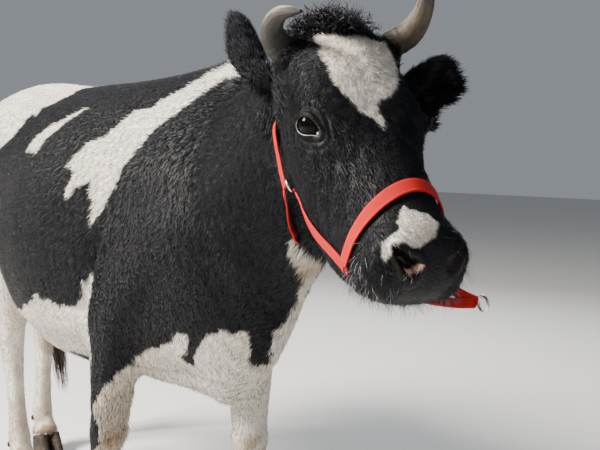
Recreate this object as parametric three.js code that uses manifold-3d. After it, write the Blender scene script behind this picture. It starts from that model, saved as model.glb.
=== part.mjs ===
// A life-size horned dairy cow with a black and white coat, standing with her head turned to her right,
// and the webbing halter that she wears. Millimetres, +X forward, +Y to the cow's left, +Z up.
// Every solid of flesh is drawn out to the tips of the coat.

import * as THREE from "three";
import { mergeVertices } from "three/addons/utils/BufferGeometryUtils.js";
import Module from "manifold-3d";

const wasm = await Module();
wasm.setup();

// ---------------------------------------------------------------- driving dimensions

const WITHERS = 1385; // height at the withers
const HEAD_LENGTH = 487; // poll to lip, along the face
const PARTING = 0.5; // width of the cuts between parts of the body
const SEAT = 0.9; // gap left round what stands on the body: horns, ears, tail, hooves
const STRAP = { thick: 3.5, clear: 4 }; // halter webbing, and its gap to the coat

// The head's own axes: down the face, out of the forehead, and to the cow's left.
const HEAD = {
  poll: new THREE.Vector3(993, -187, 1365),
  turn: -17, // degrees to the left of straight ahead
  nod: 44.8, // degrees below level
  tilt: 2.1, // degrees, right side down
};

const COLOURS = {
  black: { color: 0x17161a, roughness: 0.75 },
  white: { color: 0xe6ddcb, roughness: 0.8 },
  dusty: { color: 0x4a3b2e, roughness: 0.85 },
  skin: { color: 0xc9a08e, roughness: 0.6 },
  eye: { color: 0x0b0a0c, roughness: 0.08 },
  horn: { color: 0x8b8071, roughness: 0.45 },
  hoof: { color: 0x2a2623, roughness: 0.55 },
  webbing: { color: 0xd8322b, roughness: 0.8 },
  steel: { color: 0xb9b6ae, roughness: 0.3, metalness: 1 },
};

// ---------------------------------------------------------------- curves and surfaces

const V = (x, y, z) => new THREE.Vector3(x, y, z);

// A smooth curve through rows of numbers, as a function of 0..1. Rows are equal steps apart.
function through(rows) {
  const last = rows.length - 1;
  return (t) => {
    const i = Math.min(last - 1, Math.floor(t * last));
    const f = t * last - i;
    const [a, b, c, d] = [i - 1, i, i + 1, i + 2].map((k) => rows[THREE.MathUtils.clamp(k, 0, last)]);
    return b.map((_, k) => {
      const slopeB = (c[k] - a[k]) / 2;
      const slopeC = (d[k] - b[k]) / 2;
      const bend = 3 * (c[k] - b[k]) - 2 * slopeB - slopeC;
      const twist = 2 * (b[k] - c[k]) + slopeB + slopeC;
      return b[k] + f * (slopeB + f * (bend + f * twist));
    });
  };
}

// A closed skin round a line: a sphere's grid whose poles are the ends of the line.
// place(t, cos, sin) gives the point at t along the line, in the direction (cos, sin) round it.
function wrap(rings, sides, place) {
  const geometry = new THREE.SphereGeometry(1, sides, rings);
  const { position, uv } = geometry.attributes;
  for (let i = 0; i < position.count; i++) {
    const angle = Math.PI - 2 * Math.PI * uv.getX(i);
    const t = Math.round((1 - uv.getY(i)) * rings) / rings;
    const p = place(t, Math.cos(angle), Math.sin(angle));
    position.setXYZ(i, p.x, p.y, p.z);
  }
  return geometry;
}

// How far a superellipse of this power reaches in the direction (cos, sin), against the ellipse.
const square = (cos, sin, power) => (Math.abs(cos) ** power + Math.abs(sin) ** power) ** (-1 / power);

// Flesh along a line of stations. A station is a centre x, y, z, the half width to each side, the reach
// to the front (or top) and to the back (or underside), and how square the section is on those two sides.
// The sections stand square to the line, or all square to one direction if that is given; left is the
// way their sides look, and swell is a list of bumps and hollows.
function flesh(stations, { rings, sides, swell = [], left = V(0, 1, 0), direction }) {
  const row = ({ at, side, fore, aft, foreSquare = 2, aftSquare = 2 }) => [
    ...at.toArray(), side, fore, aft, foreSquare, aftSquare,
  ];
  const station = through(stations.map(row));
  const centre = (t) => V(...station(t).slice(0, 3));
  const step = 0.5 / rings;
  return wrap(rings, sides, (t, cos, sin) => {
    const [x, y, z, side, fore, aft, foreSquare, aftSquare] = station(t);
    const along = direction ?? centre(Math.min(1, t + step)).sub(centre(Math.max(0, t - step))).normalize();
    const across = left.clone().addScaledVector(along, -left.dot(along)).normalize();
    const front = along.clone().cross(across);
    const k = square(cos, sin, sin > 0 ? foreSquare : aftSquare);
    const tip = t === 0 || t === 1 ? 0 : 1;
    const out = across.multiplyScalar(cos * side * k * tip).addScaledVector(front, sin * (sin > 0 ? fore : aft) * k * tip);
    const p = V(x, y, z).add(out);
    const rise = swell.reduce((sum, b) => sum + b.rise * Math.exp(-p.distanceToSquared(b.at) / b.reach ** 2), 0);
    return p.addScaledVector(out.normalize(), rise);
  });
}

// ---------------------------------------------------------------- joining and cutting

// A geometry as a solid, grown outward by a little if wanted.
function solid(geometry, grow = 0) {
  const bare = new THREE.BufferGeometry().setIndex(geometry.index);
  bare.setAttribute("position", geometry.attributes.position.clone());
  const merged = mergeVertices(bare, 1e-3);
  merged.computeVertexNormals();
  const { position, normal } = merged.attributes;
  for (let i = 0; i < position.count; i++) {
    const out = V().fromBufferAttribute(normal, i).multiplyScalar(grow);
    position.setXYZ(i, position.getX(i) + out.x, position.getY(i) + out.y, position.getZ(i) + out.z);
  }
  return new wasm.Manifold(
    new wasm.Mesh({
      numProp: 3,
      vertProperties: merged.attributes.position.array,
      triVerts: new Uint32Array(merged.index.array),
    }),
  );
}

function geometryOf(manifold) {
  const { vertProperties, triVerts } = manifold.getMesh();
  const geometry = new THREE.BufferGeometry();
  geometry.setAttribute("position", new THREE.BufferAttribute(vertProperties, 3));
  geometry.setIndex(new THREE.BufferAttribute(triVerts, 1));
  return geometry;
}

const join = (...solids) => solids.reduce((a, b) => a.add(b));
const largest = (manifold) => manifold.decompose().reduce((a, b) => (b.volume() > a.volume() ? b : a));

// All that lies behind a plane through a point, moved out along its normal by grow.
function behind(point, normal, grow) {
  const reach = 4000;
  const block = new THREE.BoxGeometry(reach, reach, reach);
  block.translate(0, 0, -reach / 2);
  const facing = new THREE.Quaternion().setFromUnitVectors(V(0, 0, 1), normal.clone().normalize());
  block.applyQuaternion(facing);
  block.translate(...point.clone().addScaledVector(normal.clone().normalize(), grow).toArray());
  return solid(block);
}

const region = (planes, grow) => planes.map(([at, n]) => behind(at, n, grow)).reduce((a, b) => a.intersect(b));

// Takes what lies in a region off the body: returns [the piece, what is left], a parting cut apart.
function partOff(body, ...regions) {
  const piece = join(...regions.map((planes) => region(planes, -PARTING / 2)));
  const rest = join(...regions.map((planes) => region(planes, PARTING / 2)));
  return [largest(body.intersect(piece)), largest(body.subtract(rest))];
}

// ---------------------------------------------------------------- trunk and neck

const hook = (s) => V(-470, s * 262, 1325); // hip bone
const pin = (s) => V(-850, s * 120, 1235); // seat bone
const bothSides = (make) => [-1, 1].map(make);

function trunk() {
  // x, height of the widest line, half width, topline, underline, squareness above and below
  const section = (x, widest, side, top, under, foreSquare, aftSquare) => ({
    at: V(x, 0, widest), side, fore: top - widest, aft: widest - under, foreSquare, aftSquare,
  });
  const stations = [
    section(-893, 1190, 0, 1190, 1190, 2, 2),
    section(-886, 1190, 95, 1290, 1080, 2, 2),
    section(-820, 1160, 190, 1362, 890, 2, 2),
    section(-690, 1130, 240, 1400, 770, 2, 2),
    section(-560, 1150, 255, 1405, 715, 1.9, 2),
    section(-430, 1080, 272, 1392, 655, 1.8, 2),
    section(-280, 985, 318, 1375, 580, 1.9, 2.1),
    section(-120, 950, 345, 1368, 548, 2, 2.2),
    section(40, 945, 340, 1364, 552, 2, 2.2),
    section(190, 955, 305, 1366, 566, 1.9, 2.2),
    section(330, 970, 255, 1376, 554, 1.7, 1.9),
    section(450, 985, 228, WITHERS, 548, 1.6, 1.6),
    section(550, 985, 197, 1345, 592, 1.7, 1.5),
    section(632, 960, 112, 1240, 694, 2, 1.6),
    section(680, 935, 62, 1080, 790, 2, 2),
    section(692, 930, 0, 930, 930, 2, 2),
  ];
  const swell = bothSides((s) => [
    { at: hook(s), reach: 75, rise: 26 },
    { at: pin(s), reach: 65, rise: 30 },
    { at: V(-640, s * 150, 1385), reach: 90, rise: -16 }, // between hook and pin
    { at: V(-330, s * 235, 1255), reach: 110, rise: -34 }, // hollow of the flank
    { at: V(395, s * 205, 1230), reach: 120, rise: 14 }, // shoulder blade
    { at: V(580, s * 200, 985), reach: 90, rise: 22 }, // point of the shoulder
    { at: V(215, s * 300, 900), reach: 90, rise: -16 }, // behind the shoulder
  ]).flat();
  return flesh(stations, { rings: 22, sides: 20, swell, direction: V(1, 0, 0) });
}

function neck() {
  const ring = (x, y, z, side, fore, aft, foreSquare, aftSquare) => ({
    at: V(x, y, z), side, fore, aft, foreSquare, aftSquare,
  });
  const stations = [
    ring(380, 0, 985, 0, 0, 0, 2, 2),
    ring(430, 0, 1000, 150, 250, 250, 2, 2),
    ring(530, -4, 1030, 186, 300, 300, 1.8, 1.7),
    ring(625, -22, 1065, 166, 262, 250, 1.8, 1.4),
    ring(715, -58, 1105, 146, 220, 225, 1.9, 1.3),
    ring(795, -96, 1145, 130, 190, 204, 2, 1.3),
    ring(865, -128, 1185, 120, 162, 180, 2, 1.5),
    ring(925, -152, 1218, 104, 126, 135, 2, 2),
    ring(968, -166, 1240, 60, 60, 60, 2, 2),
    ring(976, -168, 1244, 0, 0, 0, 2, 2),
  ];
  const swell = [{ at: V(640, -150, 1010), reach: 90, rise: 12 }];
  return flesh(stations, { rings: 12, sides: 18, swell });
}

// ---------------------------------------------------------------- head

const radians = THREE.MathUtils.degToRad;
const nodding = new THREE.Quaternion()
  .setFromAxisAngle(V(0, 0, 1), radians(HEAD.turn))
  .multiply(new THREE.Quaternion().setFromAxisAngle(V(0, 1, 0), radians(HEAD.nod)))
  .multiply(new THREE.Quaternion().setFromAxisAngle(V(1, 0, 0), radians(HEAD.tilt)));
const headFrame = new THREE.Matrix4().compose(HEAD.poll, nodding, V(1, 1, 1));

// A point given down the face, to the cow's left and out of the forehead.
const onHead = (down, left, out) => V(down, left, out).applyMatrix4(headFrame);
const headLeft = V(0, 1, 0).applyQuaternion(nodding);
const headDown = V(1, 0, 0).applyQuaternion(nodding);

const EYE = { down: 197, side: 90, out: -46, radius: 21 };

function head() {
  // down the face, the widest line's level, half width there, the face's level, the jaw's level, squareness
  const section = (down, widest, side, face, jaw, foreSquare, aftSquare) => ({
    at: onHead(down, 0, widest), side, fore: face - widest, aft: widest - jaw, foreSquare, aftSquare,
  });
  const stations = [
    section(-42, -80, 0, -80, -80, 2, 2),
    section(-38, -80, 42, -48, -118, 2, 2),
    section(-16, -75, 80, -8, -170, 2.2, 2),
    section(32, -68, 96, 8, -214, 2.6, 1.9),
    section(80, -62, 100, 12, -236, 3, 1.8),
    section(130, -60, 99, 12, -243, 3, 1.9),
    section(180, -60, 97, 9, -239, 3, 2.2),
    section(222, -68, 92, 5, -228, 2.8, 2.5),
    section(265, -92, 89, 2, -219, 2.2, 3),
    section(308, -108, 84, -1, -213, 2, 3.3),
    section(350, -114, 79, -5, -208, 2, 3.4),
    section(388, -109, 76, -9, -195, 2, 3.2),
    section(420, -98, 78, -15, -168, 2.4, 2.8),
    section(448, -90, 80, -27, -147, 2.6, 2.6),
    section(470, -88, 60, -47, -130, 2.4, 2.2),
    section(HEAD_LENGTH - 4, -90, 30, -70, -108, 2, 2),
    section(HEAD_LENGTH, -90, 0, -90, -90, 2, 2),
  ];
  const swell = bothSides((s) => [
    { at: onHead(190, s * 102, -44), reach: 42, rise: 13 }, // rim of the eye socket
    { at: onHead(EYE.down, s * 110, EYE.out), reach: 20, rise: -9 }, // the socket itself
    { at: onHead(160, s * 80, -155), reach: 60, rise: 8 }, // cheek muscle
    { at: onHead(268, s * 74, -95), reach: 32, rise: 5 }, // ridge of the cheekbone
    { at: onHead(275, s * 66, -42), reach: 34, rise: -7 }, // hollow below the eye
    { at: onHead(432, s * 64, -56), reach: 26, rise: 7 }, // wing of the nostril
    { at: onHead(30, s * 88, -36), reach: 36, rise: 9 }, // foot of the horn
  ]).flat();
  swell.push({ at: onHead(180, 0, 10), reach: 55, rise: -5 }); // between the eyes
  swell.push({ at: onHead(-12, 0, 0), reach: 48, rise: 16 }); // crest of the poll
  swell.push({ at: onHead(430, 0, -150), reach: 32, rise: 7 }); // chin
  swell.push({ at: onHead(385, 0, -160), reach: 26, rise: -6 }); // behind the chin
  return flesh(stations, { rings: 27, sides: 20, swell, left: headLeft, direction: headDown });
}

// A ball stretched to three half sizes along the head's axes, turned about the out axis.
function headBall(down, left, out, sizes, turn, segments) {
  const ball = new THREE.SphereGeometry(1, segments, Math.round(segments * 0.65));
  ball.scale(...sizes);
  ball.rotateZ(radians(turn));
  ball.translate(down, left, out);
  return solid(ball.applyMatrix4(headFrame));
}

// The curly hair that stands on the poll between the horns.
const poll = () => headBall(-8, 2, -2, [34, 66, 34], 0, 12);

const eyeball = (s, radius) => headBall(EYE.down, s * EYE.side, EYE.out, [radius, radius, radius], 0, 10);

// Nostrils, eye sockets and the line of the closed mouth, cut from the head.
function headCuts() {
  const nostrils = bothSides((s) => headBall(453, s * 37, -43, [18, 9, 14], s * 50, 10));
  const slit = new THREE.BoxGeometry(140, 240, 2.5);
  slit.translate(460, 0, -120);
  return join(...nostrils, solid(slit.applyMatrix4(headFrame)), ...bothSides((s) => eyeball(s, EYE.radius + PARTING)));
}

// ---------------------------------------------------------------- ears and horns

// A leaf rolled into a funnel at its foot. Its line starts in the head; open is where its hollow faces.
function ear(foot, tip, open, { length, wide, thick, droop }) {
  const along = tip.clone().sub(foot).normalize();
  const facing = open.clone().addScaledVector(along, -open.dot(along)).normalize();
  const across = facing.clone().cross(along);
  const size = through([
    // half width, half angle of the roll in degrees, thickness
    [0, 60, 0], [22, 150, 0.8], [30, 140, 1], [42, 105, 1], [50, 78, 1], [51, 62, 1], [44, 52, 0.9],
    [28, 45, 0.7], [0, 40, 0],
  ]);
  return wrap(11, 10, (t, cos, sin) => {
    const [half, degrees, flesh] = size(t);
    const width = (half * wide) / 100;
    const roll = radians(degrees);
    const radius = width / Math.sin(Math.min(roll, Math.PI / 2));
    const bend = roll * cos;
    const wall = radius + (sin > 0 ? -1 : 1) * thick * 0.5 * flesh * Math.abs(sin) ** 0.5;
    const p = foot.clone().addScaledVector(along, length * t);
    p.addScaledVector(across, wall * Math.sin(bend));
    p.addScaledVector(facing, radius * 0.6 - wall * Math.cos(bend));
    p.z -= droop * t * t;
    return p;
  });
}

// Where each ear stands on the head, which way it points and where its hollow faces.
const EARS = {
  right: {
    foot: onHead(52, -86, -94), tip: onHead(-174, -127, -98), open: V(-0.7, -0.65, -0.2),
    shape: { length: 216, wide: 96, thick: 16, droop: 0 },
  },
  left: {
    foot: onHead(82, 84, -86), tip: onHead(36, 280, -78), open: V(0.8, -0.5, -0.3),
    shape: { length: 202, wide: 128, thick: 16, droop: 0 },
  },
};
const earSolid = ({ foot, tip, open, shape }) => solid(ear(foot, tip, open, shape));

// A horn along a curve through points on the head, round and tapering to a blunt tip.
function horn(points) {
  const line = new THREE.CatmullRomCurve3(points.map((p) => onHead(...p)));
  const girth = through([[24], [24], [23.5], [22], [20], [17], [13.5], [9], [4.5]]);
  const count = 9;
  const stations = Array.from({ length: count + 1 }, (_, i) => {
    const r = i === 0 || i === count ? 0 : girth(i / count)[0];
    return { at: line.getPoint(i / count), side: r, fore: r, aft: r };
  });
  stations.splice(1, 0, { ...stations[1], at: line.getPoint(0.01) });
  return solid(flesh(stations, { rings: stations.length - 1, sides: 9, left: headLeft }));
}

const HORNS = {
  right: [[34, -64, -44], [33, -92, -34], [26, -108, -22], [20, -119, 0], [29, -115, 32], [57, -97, 57]],
  left: [[34, 66, -42], [22, 104, -10], [26, 124, 18], [25, 131, 52], [23, 126, 88], [22, 108, 116]],
};

// ---------------------------------------------------------------- legs

// Named places on each leg, and the leg's half width, reach forward and reach back there.
function foreleg(s, { elbow, knee, fetlock, coronet }) {
  const between = (a, b, f) => a.clone().lerp(b, f);
  const stations = [
    { at: V(450, s * 125, 1150), side: 0, fore: 0, aft: 0 },
    { at: V(455, s * 130, 1120), side: 50, fore: 60, aft: 60 },
    { at: V(465, s * 150, 1020), side: 74, fore: 110, aft: 120 },
    { at: elbow.clone().add(V(110, s * -8, 150)), side: 80, fore: 112, aft: 160 },
    { at: elbow, side: 76, fore: 92, aft: 116 },
    { at: between(elbow, knee, 0.34), side: 66, fore: 72, aft: 74 },
    { at: between(elbow, knee, 0.66), side: 57, fore: 58, aft: 56 },
    { at: between(elbow, knee, 0.88), side: 50, fore: 49, aft: 48 },
    { at: knee, side: 52, fore: 53, aft: 47, foreSquare: 2.4 },
    { at: between(knee, fetlock, 0.2), side: 40, fore: 39, aft: 40 },
    { at: between(knee, fetlock, 0.5), side: 32, fore: 31, aft: 37 },
    { at: between(knee, fetlock, 0.8), side: 34, fore: 32, aft: 40 },
    { at: fetlock, side: 42, fore: 40, aft: 46 },
    { at: between(fetlock, coronet, 0.5), side: 38, fore: 37, aft: 38 },
    { at: coronet, side: 45, fore: 47, aft: 42 },
    { at: coronet.clone().add(V(3, 0, -8)), side: 0, fore: 0, aft: 0 },
  ];
  return flesh(stations, { rings: 19, sides: 9 });
}

function hindleg(s, { stifle, hock, fetlock, coronet }) {
  const between = (a, b, f) => a.clone().lerp(b, f);
  const gaskin = between(stifle, hock, 0.5).add(V(18, 0, 0));
  const stations = [
    { at: V(-640, s * 130, 1300), side: 0, fore: 0, aft: 0 },
    { at: V(-645, s * 140, 1270), side: 60, fore: 90, aft: 100 },
    { at: V(-640, s * 150, 1150), side: 106, fore: 170, aft: 190 },
    { at: V(-615, s * 158, 1010), side: 118, fore: 190, aft: 218 },
    { at: stifle.clone().add(V(-60, 0, 30)), side: 104, fore: 158, aft: 190 },
    { at: between(stifle, gaskin, 0.55), side: 78, fore: 112, aft: 120 },
    { at: gaskin, side: 58, fore: 74, aft: 84 },
    { at: between(gaskin, hock, 0.6), side: 43, fore: 52, aft: 68 },
    { at: hock, side: 45, fore: 52, aft: 70, aftSquare: 1.8 },
    { at: between(hock, fetlock, 0.2), side: 37, fore: 40, aft: 50 },
    { at: between(hock, fetlock, 0.5), side: 31, fore: 32, aft: 40 },
    { at: between(hock, fetlock, 0.8), side: 33, fore: 33, aft: 41 },
    { at: fetlock, side: 41, fore: 40, aft: 46 },
    { at: between(fetlock, coronet, 0.5), side: 37, fore: 37, aft: 38 },
    { at: coronet, side: 44, fore: 46, aft: 42 },
    { at: coronet.clone().add(V(3, 0, -8)), side: 0, fore: 0, aft: 0 },
  ];
  return flesh(stations, { rings: 19, sides: 9 });
}

// The stance: the right foreleg stands back and the left one forward, the left hind leg a little back.
const LEGS = {
  foreleg_right: {
    make: foreleg, s: -1,
    joints: { elbow: V(250, -180, 755), knee: V(165, -163, 430), fetlock: V(92, -158, 145), coronet: V(126, -158, 82) },
  },
  foreleg_left: {
    make: foreleg, s: 1,
    joints: { elbow: V(345, 158, 755), knee: V(425, 102, 430), fetlock: V(430, 104, 145), coronet: V(465, 104, 82) },
  },
  hindleg_right: {
    make: hindleg, s: -1,
    joints: { stifle: V(-480, -165, 850), hock: V(-695, -98, 505), fetlock: V(-662, -78, 145), coronet: V(-628, -78, 82) },
  },
  hindleg_left: {
    make: hindleg, s: 1,
    joints: { stifle: V(-560, 165, 850), hock: V(-868, 92, 505), fetlock: V(-893, 98, 145), coronet: V(-860, 98, 82) },
  },
};

// The regions that belong to each leg: inside the body it is bounded by planes, below it is the leg alone.
function legRegions(s, fore) {
  const inward = V(0, -s, 0);
  const underline = fore ? 536 : 690;
  const below = [
    [V(0, s * 4, 0), inward],
    [V(0, 0, underline), V(0, 0, 1)],
    [V(-100, 0, 0), V(fore ? -1 : 1, 0, 0)],
  ];
  const above = fore
    ? [
        [V(0, s * 118, 1000), V(0, -s, 0.166)],
        [V(150, 0, 800), V(-0.8, 0, 0.6)],
        [V(560, 0, 1120), V(0.25, 0, 1)],
        [V(668, 0, 1000), V(1, 0, 0.12)],
      ]
    : [
        [V(0, s * 62, 0), inward],
        [V(-420, 0, 850), V(1, 0, 0.35)],
        [V(-640, 0, 1150), V(0.45, 0, 1)],
      ];
  return [below, above];
}

// ---------------------------------------------------------------- feet

const CLAW = { long: 118, wide: 50, toe: 72, apart: 3, gap: 0.6 };

// One half of a cloven hoof: flat on the ground and along the cleft, its toe sloping forward.
function claw(coronet, s) {
  const foot = V(coronet.x - 2, coronet.y + s * (CLAW.apart / 2 + CLAW.wide / 2), 0);
  const ring = (z, slide, half, fore, aft) => ({ at: foot.clone().add(V(slide, 0, z)), side: half, fore, aft });
  const half = CLAW.wide / 2;
  const stations = [
    ring(CLAW.toe + 2, 0, 0, 0, 0),
    ring(CLAW.toe, 0, half * 0.86, 44, 38),
    ring(CLAW.toe * 0.5, 13, half * 0.96, 56, 45),
    ring(0, 26, half, 68, 52),
    ring(0, 26, 0, 0, 0),
  ];
  const shape = flesh(stations, { rings: 4, sides: 10 });
  // the cleft side is flat, and nothing reaches below the ground
  const { position } = shape.attributes;
  for (let i = 0; i < position.count; i++) {
    const out = (position.getY(i) - foot.y) * s;
    position.setY(i, foot.y + s * Math.max(out, -half * 0.94));
    position.setZ(i, Math.max(0, position.getZ(i)));
  }
  return solid(shape);
}

function dewclaw(fetlock, s) {
  const bud = new THREE.SphereGeometry(1, 5, 4);
  bud.scale(11, 10, 17);
  bud.rotateY(radians(25));
  return solid(bud.translate(fetlock.x - 44, fetlock.y + s * 20, fetlock.z - 24));
}

// ---------------------------------------------------------------- tail and udder

function tail() {
  const points = [
    V(-800, 0, 1352), V(-872, 2, 1340), V(-926, 8, 1240), V(-944, 30, 1080), V(-950, 72, 900), V(-952, 116, 740),
    V(-952, 144, 620),
  ];
  const girth = [0, 38, 34, 29, 24, 20, 17];
  const stations = points.map((at, i) => ({ at, side: girth[i], fore: girth[i], aft: girth[i] * 1.15 }));
  stations.push({ ...stations.at(-1), side: 0, fore: 0, aft: 0 });
  return solid(flesh(stations, { rings: 10, sides: 8 }));
}

function tailSwitch() {
  const points = [
    V(-952, 136, 660), V(-952, 138, 650), V(-951, 162, 520), V(-950, 180, 390), V(-950, 200, 250), V(-950, 202, 240),
  ];
  const girth = [0, 20, 34, 32, 14, 0];
  const stations = points.map((at, i) => ({ at, side: girth[i], fore: girth[i], aft: girth[i] }));
  return solid(flesh(stations, { rings: 7, sides: 7 }));
}

const TEATS = [[-375, 48], [-375, -48], [-458, 42], [-458, -42]];

function udder() {
  const stations = [
    { at: V(-430, 0, 790), side: 0, fore: 0, aft: 0 },
    { at: V(-430, 0, 770), side: 80, fore: 100, aft: 120 },
    { at: V(-425, 0, 700), side: 118, fore: 130, aft: 140 },
    { at: V(-420, 0, 640), side: 110, fore: 116, aft: 128, foreSquare: 2.4, aftSquare: 2.4 },
    { at: V(-418, 0, 606), side: 76, fore: 78, aft: 88, foreSquare: 2.4, aftSquare: 2.4 },
    { at: V(-418, 0, 596), side: 0, fore: 0, aft: 0 },
  ];
  const teat = ([x, y]) => {
    const girth = [0, 14, 12, 10, 0];
    return solid(flesh([640, 620, 585, 554, 548].map((z, i) => ({
      at: V(x + (z - 600) * 0.1, y, z), side: girth[i], fore: girth[i], aft: girth[i],
    })), { rings: 4, sides: 6 }));
  };
  return join(solid(flesh(stations, { rings: 6, sides: 12 })), ...TEATS.map(teat));
}

// ---------------------------------------------------------------- halter

const raycaster = new THREE.Raycaster();
const aroundFace = (degrees) => V(0, Math.sin(radians(degrees)), Math.cos(radians(degrees))).applyQuaternion(nodding);

// The point of the skin met from a place beside the head's middle plane, looking so many degrees round the
// face: 0 is out of the forehead, 90 the cow's left, -90 her right and 180 the throat.
function onSkin(skin, [down, out, degrees]) {
  raycaster.set(onHead(down, 0.7, out), aroundFace(degrees));
  return raycaster.intersectObject(skin)[0].point;
}

// A closed ribbon through sections of four corners each.
function ribbon(sections, closed) {
  const index = [];
  const quad = (a, b, c, d) => index.push(a, b, c, a, c, d);
  for (let i = 0; i < sections.length - (closed ? 0 : 1); i++) {
    const [here, next] = [i * 4, ((i + 1) % sections.length) * 4];
    for (let k = 0; k < 4; k++) quad(here + k, next + k, next + ((k + 1) % 4), here + ((k + 1) % 4));
  }
  const end = sections.length * 4;
  if (!closed) quad(0, 1, 2, 3);
  if (!closed) quad(end - 1, end - 2, end - 3, end - 4);
  return solid(new THREE.BufferGeometry().setFromPoints(sections.flat()).setIndex(index));
}

// Webbing along a line; facing(t) is the way its outer side looks, and rest(p, out) says how far the
// coat stands above or below a point of the line's own surface.
function webbing(line, facing, { steps, width, thick = STRAP.thick, rest = () => 0 }) {
  const section = (_, i) => {
    const [at, along, out] = [line.getPoint(i / steps), line.getTangent(i / steps), facing(i / steps)];
    out.addScaledVector(along, -out.dot(along)).normalize();
    const across = along.cross(out);
    const [low, high] = [-1, 1].map((side) => {
      const edge = at.clone().addScaledVector(across, (side * width) / 2);
      return edge.addScaledVector(out, rest(edge, out));
    });
    const lift = (p, by) => p.clone().addScaledVector(out, by);
    return [lift(low, -thick / 2), lift(high, -thick / 2), lift(high, thick / 2), lift(low, thick / 2)];
  };
  return ribbon(Array.from({ length: line.closed ? steps : steps + 1 }, section), line.closed);
}

// Webbing laid on the skin along a list of guides, each as onSkin takes them.
function strap(skin, guides, { steps, width, thick, closed = false }) {
  const guide = through(guides);
  const facing = (t) => aroundFace(guide(t)[2]);
  const points = Array.from({ length: closed ? steps : steps + 1 }, (_, i) => onSkin(skin, guide(i / steps)));
  const rest = (p, out) => {
    raycaster.set(p.clone().addScaledVector(out, 40), out.clone().negate());
    return 40 - raycaster.intersectObject(skin)[0].distance + STRAP.clear + STRAP.thick / 2;
  };
  return webbing(new THREE.CatmullRomCurve3(points, closed), facing, { steps, width, thick, rest });
}

// Guides down the right side of the face to the middle, and back up its left side.
const mirrored = (guides) => {
  const middle = guides.at(-1)[2];
  return [...guides, ...guides.slice(0, -1).reverse().map(([down, out, angle]) => [down, out, 2 * middle - angle])];
};

const NOSEBAND = mirrored([
  [410, -80, -180], [408, -80, -150], [399, -80, -122], [384, -80, -90], [374, -80, -60], [368, -80, -30], [364, -80, 0],
]);
const CROWN = mirrored([
  [176, -120, -134], [150, -120, -135], [122, -120, -132], [93, -118, -123], [64, -118, -113], [24, -122, -106],
  [-12, -128, -92], [-34, -136, -60], [-46, -142, -30], [-50, -144, 0],
]);
const CHEEK = (s) => [
  [402, -100, s * 106], [365, -105, s * 111], [315, -110, s * 119], [260, -115, s * 124], [204, -120, s * 129],
];
const SIDE_RING = (s) => [186, -120, s * 130];

function ring(at, axis, radius) {
  const torus = new THREE.TorusGeometry(radius, 2.4, 4, 12);
  torus.applyQuaternion(new THREE.Quaternion().setFromUnitVectors(V(0, 0, 1), axis));
  return solid(torus.translate(...at.toArray()));
}

// The two ends of the chin strap, drawn forward to the ring that a lead is clipped to.
const LEAD_RING = onHead(489, 113, -117);
const CHIN = {
  right: { points: [[396, 24, -209], [420, 50, -200], [446, 74, -176], [466, 92, -147], [477, 103, -131]], turn: [180, 130] },
  left: { points: [[404, 82, -150], [424, 92, -138], [448, 99, -128], [464, 100, -120]], turn: [120, 130] },
};

// ---------------------------------------------------------------- the whole animal

const parts = [trunk(), neck(), head(), ...Object.values(LEGS).map(({ make, s, joints }) => make(s, joints))];
const whole = join(...parts.map((part) => solid(part)));
const clear = join(...parts.map((part) => solid(part, SEAT)));

const neckPlane = [V(918, -152, 1225), V(-0.95, 0.3, 0.03)]; // behind the poll and jaw
const chestPlane = [V(610, 0, 1050), V(-0.88, 0.1, -0.46)]; // before the shoulder

const pieces = {};
let body = whole.subtract(headCuts());
[pieces.head, body] = partOff(body, [neckPlane]);
[pieces.neck, body] = partOff(body, [chestPlane]);
for (const [name, { make, s }] of Object.entries(LEGS)) {
  [pieces[name], body] = partOff(body, ...legRegions(s, make === foreleg));
}
pieces.trunk = body;

const group = new THREE.Group();
const material = (name) => new THREE.MeshStandardMaterial(COLOURS[name]);
function add(name, colour, manifold) {
  const mesh = new THREE.Mesh(geometryOf(manifold), material(colour));
  mesh.name = name;
  group.add(mesh);
}

for (const [name, piece] of Object.entries(pieces)) add(name, name.startsWith("hind") ? "white" : "black", piece);

const skin = new THREE.Mesh(geometryOf(whole), new THREE.MeshBasicMaterial({ side: THREE.DoubleSide }));
const besideCrown = strap(skin, CROWN, { steps: 28, width: 19.2, thick: 5 });
for (const [side, s] of [["right", -1], ["left", 1]]) {
  add(`eye_${side}`, "eye", eyeball(s, EYE.radius));
  add(`horn_${side}`, "horn", largest(horn(HORNS[side]).subtract(clear)));
  add(`ear_${side}`, "black", largest(earSolid(EARS[side]).subtract(clear).subtract(besideCrown)));
}

for (const [leg, { joints }] of Object.entries(LEGS)) {
  for (const [side, s] of [["right", -1], ["left", 1]]) {
    add(`hoof_${leg}_${side}`, "hoof", largest(claw(joints.coronet, s).subtract(clear)));
    add(`dewclaw_${leg}_${side}`, "hoof", largest(dewclaw(joints.fetlock, s).subtract(clear)));
  }
}

add("poll_tuft", "black", largest(poll().subtract(clear).subtract(join(...["right", "left"].map((side) => horn(HORNS[side]))))));

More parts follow.
